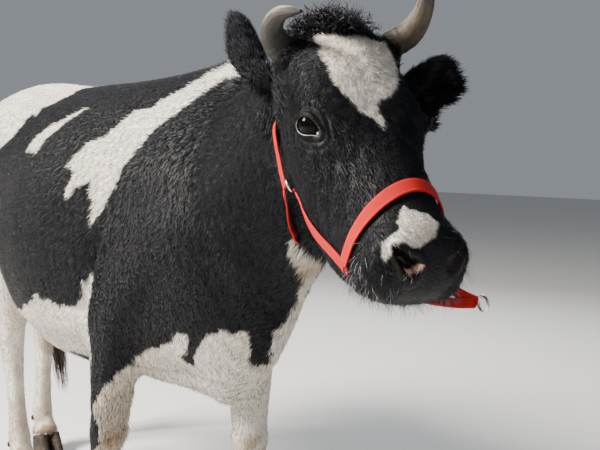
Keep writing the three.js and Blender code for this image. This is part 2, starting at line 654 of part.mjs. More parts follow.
const noseband = strap(skin, NOSEBAND, { steps: 28, width: 22, closed: true });
const besideNoseband = strap(skin, NOSEBAND, { steps: 28, width: 23.2, thick: 24, closed: true });
add("halter_noseband", "webbing", largest(noseband.subtract(clear)));
add("halter_crown", "webbing", largest(strap(skin, CROWN, { steps: 28, width: 18 }).subtract(clear)));
for (const [side, s] of [["right", -1], ["left", 1]]) {
  const cheek = strap(skin, CHEEK(s), { steps: 7, width: 20 });
  add(`halter_cheek_${side}`, "webbing", largest(cheek.subtract(besideNoseband).subtract(clear)));
  const { points, turn } = CHIN[side];
  const line = new THREE.CatmullRomCurve3(points.map((p) => onHead(...p)));
  const chin = webbing(line, (t) => aroundFace(THREE.MathUtils.lerp(...turn, t)), { steps: 7, width: 18 });
  add(`halter_chin_${side}`, "webbing", largest(chin.subtract(besideNoseband).subtract(clear)));
  const out = aroundFace(SIDE_RING(s)[2]);
  const seat = onSkin(skin, SIDE_RING(s)).addScaledVector(out, STRAP.clear + STRAP.thick + 5);
  add(`halter_ring_${side}`, "steel", ring(seat, out, 12));
}
add("halter_lead_ring", "steel", ring(LEAD_RING, headLeft, 11));

const [tuft, dock] = partOff(join(tail(), tailSwitch()), [[V(-952, 142, 630), V(0, -0.2, 1)]]);
add("tail", "black", largest(dock.subtract(clear)));
add("tail_switch", "dusty", tuft);
add("udder", "skin", largest(udder().subtract(clear)));

const box = new THREE.Box3().setFromObject(group);
const middle = box.getCenter(V(0, 0, 0));
group.position.set(-middle.x, -middle.y, -box.min.z);

export default group;
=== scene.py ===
# A life-size horned dairy cow, black and white, with a red webbing halter.
# Metres, +X forward, +Y to the cow's left, +Z up. Tables are in the cow's own millimetres.

import math

import bmesh
import bpy
import numpy as np
from mathutils import Matrix, Vector
from mathutils.bvhtree import BVHTree
from mathutils.kdtree import KDTree


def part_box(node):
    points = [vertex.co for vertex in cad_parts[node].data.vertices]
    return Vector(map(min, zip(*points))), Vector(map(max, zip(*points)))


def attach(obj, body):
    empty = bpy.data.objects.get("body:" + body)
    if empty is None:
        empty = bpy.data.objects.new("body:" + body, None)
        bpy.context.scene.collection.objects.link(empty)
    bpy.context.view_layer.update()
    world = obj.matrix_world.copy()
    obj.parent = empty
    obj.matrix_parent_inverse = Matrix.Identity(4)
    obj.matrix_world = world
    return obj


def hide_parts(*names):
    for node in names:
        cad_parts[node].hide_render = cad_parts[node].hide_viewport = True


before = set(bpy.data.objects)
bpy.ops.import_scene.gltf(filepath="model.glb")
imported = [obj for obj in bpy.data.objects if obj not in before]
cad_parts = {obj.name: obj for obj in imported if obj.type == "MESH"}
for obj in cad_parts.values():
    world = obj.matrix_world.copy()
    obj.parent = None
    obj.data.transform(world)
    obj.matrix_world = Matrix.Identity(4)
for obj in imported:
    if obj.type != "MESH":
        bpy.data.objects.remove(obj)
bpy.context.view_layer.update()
SIDES = (("right", -1), ("left", 1))
rng = np.random.default_rng(11)

# ---------------------------------------------------------------- places on the animal


def turn(axis, degrees):
    return np.array(Matrix.Rotation(math.radians(degrees), 3, axis))


# The head's own axes: down the face, to the cow's left and out of the forehead.
POLL = np.array((993.0, -187.0, 1365.0))
HEAD = turn("Z", -17) @ turn("Y", 44.8) @ turn("X", 2.1)
EYE = np.array((197.0, 90.0, -46.0))
EYE_RADIUS = 21.0


def side_of(place, s):
    return place * (1, s, 1)


eye_low, eye_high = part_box("eye_right")
SHIFT = np.array((eye_low + eye_high) / 2) * 1000 - POLL - HEAD @ side_of(EYE, -1)


def to_frame(places):
    """The cow's millimetres to metres of the frame."""
    return (np.asarray(places, float) + SHIFT) / 1000


def to_cow(points):
    return np.asarray(points, float) * 1000 - SHIFT


def on_head(places):
    return to_frame(POLL + np.asarray(places, float) @ HEAD.T)


def to_head(points):
    return (to_cow(points) - POLL) @ HEAD


def unit(v):
    return v / np.maximum(np.linalg.norm(v, axis=-1, keepdims=True), 1e-9)


def step(low, high, x):
    t = np.clip((x - low) / (high - low), 0, 1)
    return t * t * (3 - 2 * t)


def bump(points, at, reach):
    return np.exp(-np.sum((points - at) ** 2, axis=-1) / reach**2)


def ridge(x, width):
    """1 where x is 0, falling off smoothly on both sides."""
    return np.exp(-((x / width) ** 2))


def flattened(v, normal):
    """Each direction with its part along the normal taken out."""
    return unit(v - normal * np.sum(v * normal, axis=-1, keepdims=True))


def through(rows, t):
    """A smooth curve through rows at equal steps, read at t from 0 to 1."""
    rows, t = np.asarray(rows, float), np.atleast_1d(t)
    last = len(rows) - 1
    i = np.clip(np.floor(t * last).astype(int), 0, last - 1)
    f = (t * last - i)[:, None]
    a, b, c, d = (rows[np.clip(i + k, 0, last)] for k in (-1, 0, 1, 2))
    up, down = (c - a) / 2, (d - b) / 2
    return b + f * (up + f * (3 * (c - b) - 2 * up - down + f * (2 * (b - c) + up + down)))


def wobble(points, size, seed):
    """A smooth random value of about -1 to 1 for each point, with bumps of a given size."""
    maker = np.random.default_rng(seed)
    total = np.zeros(len(points))
    for k in range(6):
        way = maker.normal(size=3)
        way *= maker.uniform(0.7, 1.5) / size / np.linalg.norm(way) * 2.2
        total += np.sin(points @ way + maker.uniform(0, 6.3)) * (0.45 if k else 0.6)
    return total / 1.3


# ---------------------------------------------------------------- meshes


def piece_of(mesh, name):
    obj = bpy.data.objects.new(name, mesh)
    bpy.context.scene.collection.objects.link(obj)
    return obj


def finish_piece(obj, material, smooth=True):
    obj.data.materials.clear()
    obj.data.materials.append(material)
    if smooth:
        obj.data.shade_smooth()
    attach(obj, "root")
    return obj


def points_of(mesh, what="co"):
    out = np.empty(len(mesh.vertices) * 3, np.float32)
    mesh.vertices.foreach_get(what, out)
    return out.reshape(-1, 3).astype(float)


def normals_of(mesh):
    return points_of(mesh, "normal")


def set_points(mesh, points):
    mesh.vertices.foreach_set("co", np.asarray(points, np.float32).ravel())
    mesh.update()


def edges_of(mesh):
    ends = np.empty(len(mesh.edges) * 2, np.int32)
    mesh.edges.foreach_get("vertices", ends)
    return ends.reshape(-1, 2)


def triangles_of(mesh):
    mesh.calc_loop_triangles()
    out = np.empty(len(mesh.loop_triangles) * 3, np.int32)
    mesh.loop_triangles.foreach_get("vertices", out)
    return out.reshape(-1, 3)


def put_values(mesh, name, values):
    layer = mesh.attributes.get(name) or mesh.attributes.new(name, "FLOAT", "POINT")
    layer.data.foreach_set("value", np.asarray(values, np.float32))


def spread(values, ends, amount, rounds):
    """Laplacian smoothing of each row of values along the edges, by an amount for each point."""
    degree = np.bincount(ends.ravel(), minlength=len(values)).astype(float)[:, None]
    amount = np.asarray(amount, float).reshape(-1, 1)
    columns = values.reshape(len(values), -1).astype(float)
    for _ in range(rounds):
        total = np.empty_like(columns)
        for k in range(columns.shape[1]):
            total[:, k] = np.bincount(ends[:, 0], columns[ends[:, 1], k], len(values))
            total[:, k] += np.bincount(ends[:, 1], columns[ends[:, 0], k], len(values))
        columns = columns + amount * (total / degree - columns)
    return columns.reshape(values.shape)


def baked(obj):
    """The object's mesh with its modifiers applied, and the object removed."""
    mesh = bpy.data.meshes.new_from_object(obj.evaluated_get(bpy.context.evaluated_depsgraph_get()))
    bpy.data.objects.remove(obj)
    return mesh


def remeshed(mesh, voxel):
    obj = piece_of(mesh, "to_remesh")
    change = obj.modifiers.new("Remesh", "REMESH")
    change.mode, change.voxel_size = "VOXEL", voxel
    return baked(obj)


def made(bm, name):
    """A new mesh from bm, which is freed."""
    mesh = bpy.data.meshes.new(name)
    bm.to_mesh(mesh)
    bm.free()
    return mesh


def joined(meshes):
    bm = bmesh.new()
    for mesh in meshes:
        bm.from_mesh(mesh)
    return made(bm, "joined")


def merged_copy(node, grow=0.0):
    """A copy of a CAD node with its loose triangles merged, pushed out by a little."""
    bm = bmesh.new()
    bm.from_mesh(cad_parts[node].data)
    bmesh.ops.remove_doubles(bm, verts=bm.verts, dist=1e-5)
    bm.normal_update()
    for v in bm.verts:
        v.co += v.normal * grow
    return made(bm, node + "_copy")


def wrap(place, along, around, name, values=None):
    """A skin from a grid: place(t, turned) gives its points, t and turned running from 0 to 1. Points that
    meet are merged, so rings close and the ends come to a point or join. values are functions of t and
    turned that give each point further numbers by name."""
    bm = bmesh.new()
    bmesh.ops.create_grid(bm, x_segments=along, y_segments=around, size=1)
    grid = np.array([v.co[:2] for v in bm.verts]) / 2 + 0.5
    for key, given in (values or {}).items():
        layer = bm.verts.layers.float.new(key)
        for v, number in zip(bm.verts, given(grid[:, 0], grid[:, 1])):
            v[layer] = number
    for v, p in zip(bm.verts, place(grid[:, 0], grid[:, 1])):
        v.co = p
    bmesh.ops.remove_doubles(bm, verts=bm.verts, dist=2e-6)
    bmesh.ops.recalc_face_normals(bm, faces=bm.faces)
    return made(bm, name)


def tube(line, girth, along, around, name, first_side, ridged=None):
    """A closed tube along a line of points in metres; girth gives its radius along it. Its points know how
    far along it they are, from 0 to 1, and their turn round it."""
    def reach(t):
        return np.clip((np.round(t * along) - 1) / (along - 2), 0, 1)

    def place(t, turned):
        s = reach(t)
        at = through(line, s)
        before, after = (through(line, np.clip(s + more, 0, 1)) for more in (-0.01, 0.01))
        ahead = unit(after - before)
        across = unit(np.cross(np.cross(ahead, first_side), ahead))
        front = np.cross(ahead, across)
        r = through(np.reshape(girth, (-1, 1)), s)[:, 0]
        if ridged:
            r = r * ridged(s, turned)
        r = np.where((t < 0.5 / along) | (t > 1 - 0.5 / along), 0, r)[:, None]
        angle = (turned * 2 * np.pi)[:, None]
        return at + r * (np.cos(angle) * across + np.sin(angle) * front)
    values = {
        "along": lambda t, turned: reach(t),
        "cosine": lambda t, turned: np.cos(turned * 2 * np.pi),
        "sine": lambda t, turned: np.sin(turned * 2 * np.pi),
    }
    return wrap(place, along, around, name, values)


UV_PATCH = 0.003  # each lock's own patch of the unrolled coat


def locks(name, root, paths, halves, normal, thick, values, unroll):
    """Hair as one mesh: for each root a solid lock that follows its own path, (count, points, 3), and tapers
    from halves, (count, points - 1), to a tip. values are numbers for each lock; unroll places its UVs."""
    count, n = paths.shape[0], paths.shape[1] - 1
    ahead = unit(np.diff(paths, axis=1))
    side = unit(np.cross(ahead, normal[:, None, :]))
    up = np.cross(side, ahead)
    half = halves[:, :, None]
    line = paths[:, :n]
    ring = np.stack((line - side * half, line + side * half, line + up * half * thick), axis=2)
    verts = np.concatenate((ring.reshape(count, n * 3, 3), paths[:, n:]), axis=1)
    per = n * 3 + 1
    faces = [(0, 2, 1)]
    for k in range(n - 1):
        for a, b in ((0, 1), (1, 2), (2, 0)):
            lower, upper = k * 3, k * 3 + 3
            faces += [(lower + a, lower + b, upper + b), (lower + a, upper + b, upper + a)]
    last = n * 3 - 3
    faces += [(last + a, last + b, n * 3) for a, b in ((0, 1), (1, 2), (2, 0))]
    faces = np.array(faces)[:, ::-1]
    index = (faces[None] + np.arange(count)[:, None, None] * per).reshape(-1, 3)
    mesh = bpy.data.meshes.new(name)
    mesh.vertices.add(count * per)
    mesh.vertices.foreach_set("co", verts.astype(np.float32).ravel())
    mesh.loops.add(index.size)
    mesh.loops.foreach_set("vertex_index", index.astype(np.int32).ravel())
    mesh.polygons.add(len(index))
    mesh.polygons.foreach_set("loop_start", np.arange(0, index.size, 3, dtype=np.int32))
    uv = mesh.uv_layers.new(name="OFBake")
    along = np.append(np.repeat(np.arange(n) / n, 3), 1.0)
    across = np.append(np.tile((-0.5, 0.5, 0.0), n), 0.0) * (1 - along)
    patch = np.stack((across, along - 0.5), axis=1) * UV_PATCH
    spots = (unroll[:, None, :] + patch[None]).reshape(-1, 2)
    uv.data.foreach_set("uv", spots[index.ravel()].astype(np.float32).ravel())
    mesh.update()
    for key, value in values.items():
        put_values(mesh, key, np.repeat(value, per))
    put_values(mesh, "tip", np.tile(along, count))
    return piece_of(mesh, name)


# ---------------------------------------------------------------- the skin

LEGS = ["foreleg_right", "foreleg_left", "hindleg_right", "hindleg_left"]
EARS = ["ear_right", "ear_left"]
FLESH = ["head", "neck", "trunk", *LEGS, "tail", "udder"]
REGIONS = FLESH + EARS
VOXEL = 0.0105

# For each ear its foot and a point it aims at, on the head's axes; the way its hollow faces, in the frame;
# its length and width; and how far its middle bows, on the head's axes.
EAR_SHAPE = {
    "ear_right": ((52, -86, -94), (-170, -118, -98), (-0.95, -0.36, -0.1), 208, 84, (-4, -14, -4)),
    "ear_left": ((82, 84, -86), (36, 276, -78), (0.8, -0.5, -0.3), 200, 120, (0, 0, 0)),
}


# The leaf's half width and how many degrees it is rolled up, at equal steps from foot to tip.
EAR_ROWS = [(0, 60), (22, 150), (30, 140), (42, 105), (50, 78), (51, 62), (46, 52), (34, 45), (5, 40)]


def ear_axes(name):
    """An ear's foot, in mm, and three ways: along it, out of its hollow and across it."""
    foot, tip, opening = EAR_SHAPE[name][:3]
    foot, tip = np.array(foot, float), np.array(tip, float)
    ahead = HEAD @ unit(tip - foot)
    facing = unit(np.array(opening) - ahead * np.dot(opening, ahead))
    return POLL + HEAD @ foot, ahead, facing, np.cross(facing, ahead)


def ear_point(name, t, bend, wall):
    """A point of the ear's leaf: t along it, bend from -1 to 1 across it, wall in mm out of its middle."""
    length, wide, bow = EAR_SHAPE[name][3:]
    start, ahead, facing, across = ear_axes(name)
    start = start + np.sin(np.pi * np.clip(t, 0, 1))[:, None] * (HEAD @ np.array(bow, float))
    half, roll = through(EAR_ROWS, t).T
    half = half * wide / 100
    if name == "ear_right":
        half = half * (1 - 0.22 * step(0.55, 0.95, t))
    else:  # the notch in its lower edge
        notch = 0.46 * step(0.60, 0.68, t) - 0.12 * step(0.80, 0.9, t)
        half = half * (1 - notch * step(0, -0.4, bend))
    roll = np.radians(roll)
    radius = half / np.sin(np.minimum(roll, np.pi / 2))
    angle, r = roll * bend, radius + wall
    out = (radius * 0.6 - r * np.cos(angle))[:, None] * facing
    return start + ahead * (length * t)[:, None] + (out + (r * np.sin(angle))[:, None] * across)


def ear_leaf(name):
    def place(t, turned):
        angle = turned * 2 * np.pi
        sin = np.sin(angle)
        thin = 7.0 * np.abs(np.sin(np.pi * t)) ** 0.35
        wall = -np.sign(sin) * thin * 0.5 * np.abs(sin) ** 0.6
        return to_frame(ear_point(name, t, np.cos(angle), wall))
    return wrap(place, 34, 36, name + "_leaf")


def nearest_region(points):
    """For each point, which node of flesh it is nearest to, as an index into REGIONS."""
    corners, faces, owner = [], [], []
    for k, node in enumerate(REGIONS):
        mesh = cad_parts[node].data
        tri = triangles_of(mesh) + sum(len(c) for c in corners)
        corners.append(points_of(mesh))
        faces.append(tri)
        owner += [k] * len(tri)
    tree = BVHTree.FromPolygons(np.concatenate(corners).tolist(), np.concatenate(faces).tolist())
    return np.array([owner[tree.find_nearest(p)[2]] for p in points.tolist()])


def region_weights(mesh, rounds):
    """How much each point belongs to each region, blended across the joins. One column for each region."""
    weights = np.eye(len(REGIONS))[nearest_region(points_of(mesh))]
    return spread(weights, edges_of(mesh), 0.9, rounds)


def column(weights, *names):
    """How much each point belongs to the named regions together."""
    return sum(weights[:, REGIONS.index(name)] for name in names)


def smooth_width(cow, weights):
    """How widely the flesh is smoothed at each point, in mm."""
    z = cow[:, 2]
    leg = 13 + 17 * step(430, 800, z)
    udder = 6 + 9 * step(610, 660, z)
    width = {"head": 7, "neck": 21, "trunk": 31, "tail": 9, "udder": udder}
    return sum(weights[:, k] * width.get(name, leg) for k, name in enumerate(REGIONS))


def smoothed(mesh, weights):
    """Smooths the mesh, each region as widely as it may be, and gives back the volume that this takes."""
    ends, points = edges_of(mesh), points_of(mesh)
    rounds = 26
    width = smooth_width(to_cow(points), weights) / 1000
    amount = np.minimum(width**2 * 2 / (VOXEL**2 * rounds), 0.95)
    once = spread(points, ends, amount, rounds)
    set_points(mesh, once + spread(points - once, ends, amount, rounds))


def divided(mesh, chosen):
    """The mesh with the edges between chosen points cut in two."""
    bm = bmesh.new()
    bm.from_mesh(mesh)
    edges = [e for e in bm.edges if chosen[e.verts[0].index] and chosen[e.verts[1].index]]
    bmesh.ops.subdivide_edges(bm, edges=edges, cuts=1, use_grid_fill=True)
    bmesh.ops.triangulate(bm, faces=[f for f in bm.faces if len(f.verts) > 4])
    return made(bm, "skin")


# The opening between the lids, in the plane across the way that the eye looks. The left eye's, on the head.
GAZE = unit(np.array((0.42, 0.80, 0.43)))
LID_LONG = unit(np.array((0.819, -0.537, 0.199)))
LID_UP = np.array((-0.39, -0.269, 0.881))
LIDS = [
    (-16.2, -6.5), (-13, -12), (-6.9, -15.6), (1, -16.2), (9, -13.8), (17, -10), (25.5, -7), (23.2, 1.0),
    (17, 6.2), (8.5, 10.4), (-2, 11.6), (-10.6, 8.4), (-15.4, 1.2),
]


def lid_line(t):
    """The opening's edge, as (along, up) in mm, once round as t goes from 0 to 1."""
    ring = LIDS + LIDS[:3]
    return through([*LIDS[-2:], *ring], (np.mod(t, 1) * len(LIDS) + 2) / (len(LIDS) + 4))


LID_RING = lid_line(np.linspace(0, 1, 60, endpoint=False))


def by_eye(s, along, up, out):
    """Head places from the middle of one eye: along the opening between the lids, up across it and out."""
    return side_of(EYE, s) + (along * side_of(LID_LONG, s) + up * side_of(LID_UP, s) + out * side_of(GAZE, s))


def in_lids(points, s):
    """Head places as (along, up, out) from the middle of one eye, in mm."""
    away = points - side_of(EYE, s)
    return np.stack([away @ side_of(axis, s) for axis in (LID_LONG, LID_UP, GAZE)], axis=1)


def line_distance(points, line):
    """For each 2-D point, how far the nearest part of a line of points is."""
    best = np.full(len(points), 1e9)
    for a, b in zip(line[:-1], line[1:]):
        d = b - a
        t = np.clip(((points - a) @ d) / max(d @ d, 1e-9), 0, 1)
        best = np.minimum(best, np.linalg.norm(points - a - t[:, None] * d, axis=1))
    return best


def inside(points, ring):
    """Which 2-D points lie inside a ring."""
    x, y = points.T
    odd = np.zeros(len(points), bool)
    for (x1, y1), (x2, y2) in zip(ring, np.roll(ring, -1, axis=0)):
        cross = (y1 > y) != (y2 > y)
        odd ^= cross & (x < (x2 - x1) * (y - y1) / (y2 - y1 + 1e-12) + x1)
    return odd


def signed(points, ring):
    """How far each 2-D point is inside a ring, negative outside."""
    ring = np.asarray(ring, float)
    away = line_distance(points, np.vstack((ring, ring[:1])))
    return np.where(inside(points, ring), away, -away)


def nostril(local, s):
    """How far each place is from the line of a nostril, as a share of the pit's own half width there."""
    spot = np.array((456, s * (39 if s < 0 else 49), -47.0))  # the left one is turned away, further round
    comma = np.array([(-11, 12), (-6, 9), (0, 4), (5, -1), (10, -8), (12, -15)], float)
    plane = np.stack((local[:, 0] - spot[0], (local[:, 1] - spot[1]) * s), axis=1)
    near = (np.linalg.norm(local - spot, axis=1) < 42) & (local[:, 2] > -78)
    wide = 4.4 + 4.2 * step(12, -6, plane[:, 1])
    return np.where(near, line_distance(plane, comma) / wide, 9.0)


# Rings round the opening of the lids: height, distance from its edge and width, in mm, and on which lid.
LID_FOLDS = [
    (1.5, 4, 2.6, "both"), (-1.9, 8.5, 1.7, "upper"), (1.2, 12, 2.4, "upper"), (-1.2, 16.5, 1.9, "upper"),
    (-1.6, 9, 2.4, "lower"), (0.9, 14, 3.5, "lower"), (-0.8, 19, 2.5, "lower"),
]


def sculpted(local):
    """How far each place of the head moves out along its normal, in mm: folds, nostrils and lips."""
    down, left, out = local.T
    rise = np.zeros(len(local))
    for s in (-1, 1):
        lid = in_lids(local, s)
        near = (lid[:, 2] > -8) & (np.hypot(lid[:, 0], lid[:, 1]) < 60)
        gap = -signed(lid[near][:, :2], LID_RING)
        upper = step(-4, 6, lid[near][:, 1] - 0.12 * lid[near][:, 0])
        share = {"both": 1, "upper": upper, "lower": 1 - upper}
        rise[near] += sum(high * ridge(gap - at, wide) * share[lids] for high, at, wide, lids in LID_FOLDS)
        # the nostril: a comma-shaped pit, its tail up and outward, with a raised rim
        curl, deep = nostril(local, s), 17 if s < 0 else 5
        rise += deep * (0.19 * ridge(curl - 1.4, 0.5) - 1 + step(0.2, 1, curl))
    muzzle = step(400, 425, down)
    rise += 9 * bump(local, (458, 62, -108), 27)  # the far corner of the lip
    rise += 13 * bump(local, (46, 82, -14), 34)  # the corner of the poll under the left horn
    above = out - (-121 - 0.06 * (460 - down) + 2.5 * np.sin(down / 13))  # from the line of the mouth
    mouth = ridge(above, 2.2) * step(382, 396, down)
    rise += -4.5 * mouth + 2.4 * ridge(above - 8, 7) * muzzle
    rise += 2.2 * ridge(above + 9, 6.5) * muzzle
    rise -= 2.0 * ridge(left, 4.5) * step(440, 462, down) * step(-112, -100, out)  # the groove of the lip
    return rise


# The crease behind the right upper foreleg, as (forward, up); the left leg stands further forward.
ELBOW_CREASE = np.array([(322, 1010), (302, 945), (285, 896), (258, 835), (236, 786), (222, 750)], float)
# The middle of each coronet, as (forward, left).
CORONETS = {
    "foreleg_right": (126, -158),
    "foreleg_left": (465, 104),
    "hindleg_right": (-628, -78),
    "hindleg_left": (-860, 98),
}


def sculpted_body(cow):
    """How far each place of the body moves out along its normal, in mm."""
    x, y, z = cow.T
    rise = np.zeros(len(cow))
    for s, ahead in ((-1, 0), (1, 70)):
        near = (y * s > 110) & (np.abs(x - 270 - ahead) < 140) & (np.abs(z - 880) < 190)
        flat = cow[near][:, (0, 2)] - (ahead, 0)
        gap = line_distance(flat, ELBOW_CREASE)
        behind = np.where(flat[:, 0] < np.interp(flat[:, 1], *ELBOW_CREASE[::-1, ::-1].T), 1.0, 0.0)
        fade = step(1010, 930, flat[:, 1]) * step(725, 775, flat[:, 1])
        hollow = 13 * behind * (gap / 14) * np.exp(1 - gap / 14)
        rise[near] += fade * (5 * ridge(gap, 16) * (1 - behind) - hollow)
        rise[near] += fade * 5 * behind * ridge(gap, 5)
    rise -= 24 * bump(cow, (405, -95, 610), 62)  # the hollow between the right foreleg and the brisket
    rise += 12 * bump(cow, (500, -25, 570), 55)
    for forward, left in CORONETS.values():  # each coronet stands over the top of its hoof
        rise += 8.5 * ridge(z - 86, 13) * (np.hypot(x - forward, y - left) < 90)
    return rise


# How deep the coat is, in mm, and how much less on the head, on the udder and low on the legs.
COAT_DEPTH, HEAD_LESS, UDDER_LESS, LEG_LESS, MUZZLE_DEPTH = 5.0, 2.2, 2.0, 2.0, 0.6
FACE = (220, 0, -100)  # the middle of the face, on the head's axes


def make_skin():
    """The flesh as one closed skin, set in by the depth of the coat, with its folds."""
    flesh = [merged_copy(node, 0.0007) for node in FLESH] + [merged_copy(f"eye_{side}") for side, _ in SIDES]
    mesh = remeshed(joined(flesh), VOXEL)
    smoothed(mesh, region_weights(mesh, 6))
    local = to_head(points_of(mesh))
    head = (local[:, 0] > -60) & (np.linalg.norm(local - FACE, axis=1) < 330) & (local[:, 0] < 520)
    mesh = divided(mesh, head)
    local = to_head(points_of(mesh))
    fine = (local[:, 0] > 385) & (local[:, 2] < 40)
    for s in (-1, 1):
        fine |= np.linalg.norm(local - (200, 92 * s, -40), axis=1) < 58
    mesh = divided(mesh, fine & (local[:, 0] < 520))
    points = points_of(mesh)
    near = step(330, 300, np.linalg.norm(to_head(points) - FACE, axis=1))
    points = spread(points, edges_of(mesh), near * 0.5, 5)
    set_points(mesh, points)
    weights = region_weights(mesh, 10)
    # the coat's depth comes off, then the folds go in
    local, cow = to_head(points), to_cow(points)
    depth = COAT_DEPTH - HEAD_LESS * column(weights, "head") * step(-40, 60, local[:, 0])
    depth -= UDDER_LESS * column(weights, "udder")
    depth -= column(weights, *LEGS) * LEG_LESS * step(700, 450, cow[:, 2])
    muzzle = column(weights, "head") * step(405, 440, local[:, 0])
    depth = depth * (1 - muzzle) + MUZZLE_DEPTH * muzzle
    normals = normals_of(mesh)
    points = points - normals * (depth / 1000)[:, None]
    level = np.where((cow[:, 2] < 130)[:, None], unit(normals * (1, 1, 0.05)), normals)
    points = points + level * (sculpted_body(cow) / 1000)[:, None]
    set_points(mesh, points)
    # the ball of each eye stands under its lids
    local = to_head(points)
    radius, soft = EYE_RADIUS + 2.4, 2.2
    for s in (-1, 1):
        away = local - side_of(EYE, s)
        far = np.linalg.norm(away, axis=1)
        near = (far < 40) & (away @ side_of(GAZE, s) > -6)
        lifted = np.where(near, np.log(np.exp(far / soft) + np.exp(radius / soft)) * soft, far)
        local += away * ((lifted / np.maximum(far, 1)) - 1)[:, None]
    set_points(mesh, on_head(local))
    points, normals = points_of(mesh), normals_of(mesh)
    local = to_head(points)
    put_values(mesh, "pit", step(1.0, 0.65, np.minimum(nostril(local, -1), nostril(local, 1))))
    rise = sculpted(local) * (column(weights, "head") > 0.4) / 1000
    set_points(mesh, points + normals * rise[:, None])
    return mesh


def with_boolean(mesh, other, operation):
    body, tool = piece_of(mesh, "to_cut"), piece_of(other, "cutter")
    change = body.modifiers.new("Boolean", "BOOLEAN")
    change.operation, change.solver, change.object = operation, "MANIFOLD", tool
    out = baked(body)
    bpy.data.objects.remove(tool)
    return out


def lid_cutter(s):
    """A plug as wide as the opening between the lids, from inside the eyeball to outside the lids."""
    def place(t, turned):
        k = np.round(t * 4).astype(int)
        edge = lid_line(turned) * np.where((k == 0) | (k == 4), 0, 1)[:, None]
        deep = np.where(k <= 1, -3, np.where(k == 2, 14, 40))[:, None]
        return on_head(by_eye(s, edge[:, :1], edge[:, 1:], deep))
    return wrap(place, 4, 64, "lid_cutter")


bare_skin = make_skin()
closed_eyes = BVHTree.FromPolygons(points_of(bare_skin).tolist(), triangles_of(bare_skin).tolist())
skin_mesh = bare_skin
for name in EARS:
    skin_mesh = with_boolean(skin_mesh, ear_leaf(name), "UNION")
for s in (-1, 1):
    skin_mesh = with_boolean(skin_mesh, lid_cutter(s), "DIFFERENCE")
skin = piece_of(skin_mesh, "skin")
print("skin", len(skin_mesh.vertices), "points", len(triangles_of(skin_mesh)), "triangles")

# ---------------------------------------------------------------- markings

# Edges of the white and black patches, in mm. Seen from the side they are (forward, up).
BAND = [
    (440, 1420), (459, 1350), (387, 1298), (342, 1256), (287, 1262), (243, 1201), (185, 1178), (150, 1124),
    (191, 1102), (173, 1040), (256, 1090), (252, 1035), (253, 975), (306, 1048), (333, 1092), (355, 1153),
    (391, 1210), (429, 1239), (469, 1278), (514, 1329), (545, 1420),
]
STREAK = [(93, 1270), (2, 1241), (-39, 1220), (-74, 1158), (-17, 1150), (16, 1207)]
RUMP = [
    (-178, 1500), (-178, 1346), (-144, 1320), (-313, 1294), (-272, 1273), (-355, 1267), (-370, 1233),
    (-398, 1168), (-520, 1060), (-600, 950), (-620, 800), (-504, 718), (-504, 500), (-1100, 500),
    (-1100, 1500),
]
BELLY = [
    (-520, 718), (-300, 705), (-117, 722), (-30, 745), (20, 773), (50, 790), (67, 774), (104, 770),
    (118, 758), (157, 762), (188, 771), (204, 795), (211, 820), (209, 848), (223, 838), (238, 866),
    (249, 856), (262, 842), (250, 812), (226, 781), (212, 759), (205, 720), (203, 660), (196, 600),
    (196, 400), (-520, 400),
]
LEFT_BAND = [
    (400, 1420), (420, 1330), (330, 1240), (250, 1180), (180, 1060), (210, 960), (290, 900), (350, 980),
    (380, 1100), (450, 1200), (540, 1290), (560, 1420),
]
LEFT_FLANK = [(-20, 1420), (-60, 1300), (-150, 1210), (-250, 1160), (-330, 1210), (-380, 1330), (-360, 1420)]
LEFT_BELLY = [
    (-560, 760), (-420, 800), (-250, 740), (-100, 760), (20, 850), (90, 940), (150, 900), (170, 780),
    (250, 720), (330, 700), (330, 400), (-560, 400),
]
LEFT_RUMP = [
    (-360, 1500), (-420, 1300), (-560, 1180), (-640, 1000), (-600, 860), (-540, 760), (-540, 500),
    (-1100, 500), (-1100, 1500),
]
# Round the brisket: forward less half the distance from the middle, and up.
BRISKET = [
    (100, 590), (143, 598), (183, 603), (207, 630), (264, 676), (329, 701), (389, 735), (430, 744),
    (410, 702), (378, 685), (402, 670), (431, 667), (441, 690), (463, 736), (527, 765), (555, 754),
    (586, 770), (591, 743), (581, 679), (613, 678), (628, 707), (663, 770), (677, 780), (702, 835),
    (780, 870), (780, 400), (100, 400),
]
LEFT_BRISKET = [
    (780, 870), (702, 848), (660, 812), (600, 790), (540, 752), (440, 712), (300, 650), (180, 600),
    (180, 400), (780, 400),
]
# On the throat, seen from the right front: across and up.
THROAT = [
    (456, 1002), (462, 996), (468, 984), (476, 977), (484, 969), (492, 961), (500, 951), (507, 943),
    (514, 933), (540, 925), (540, 700), (416, 725), (429, 757), (437, 782), (460, 781), (464, 801),
    (465, 841), (474, 866), (475, 888), (471, 913), (472, 927), (461, 946), (453, 969),
]
# On the face: down and to the left.
BLAZE = [
    (31, -53), (37, -37), (38, -19), (37, 7), (38, 40), (46, 70), (66, 80), (100, 76), (133, 62), (160, 51),
    (178, 34), (192, 6), (207, -4), (222, -1), (240, -1), (257, -6), (242, -12), (231, -17), (224, -27),
    (213, -35), (201, -39), (175, -46), (160, -52), (140, -56), (107, -57), (86, -58), (76, -52), (57, -55),
]
SADDLE = [
    (395, -25), (390, -21), (398, -13), (396, -6), (402, -1), (406, 7), (416, 13), (422, 21), (426, 18),
    (431, 13), (438, 10), (442, 6), (446, -4), (447, -21), (447, -31), (444, -38), (444, -46), (447, -53),
    (450, -56), (455, -61), (447, -69), (441, -68), (432, -61), (430, -54), (428, -46), (426, -39),
    (418, -33), (407, -30),
]
# The pink of the right nostril's lower rim.
PINK = [(464, -38), (468, -30), (467, -20), (470, -10), (476, -14), (474, -22), (477, -29), (470, -34)]
# Up and to the left, where the far side's black shows along the edge of the throat.
THROAT_RIM = [(800, 75), (845, 60), (854, 27), (876, 17), (903, 7), (915, -18), (935, -40), (950, 60)]
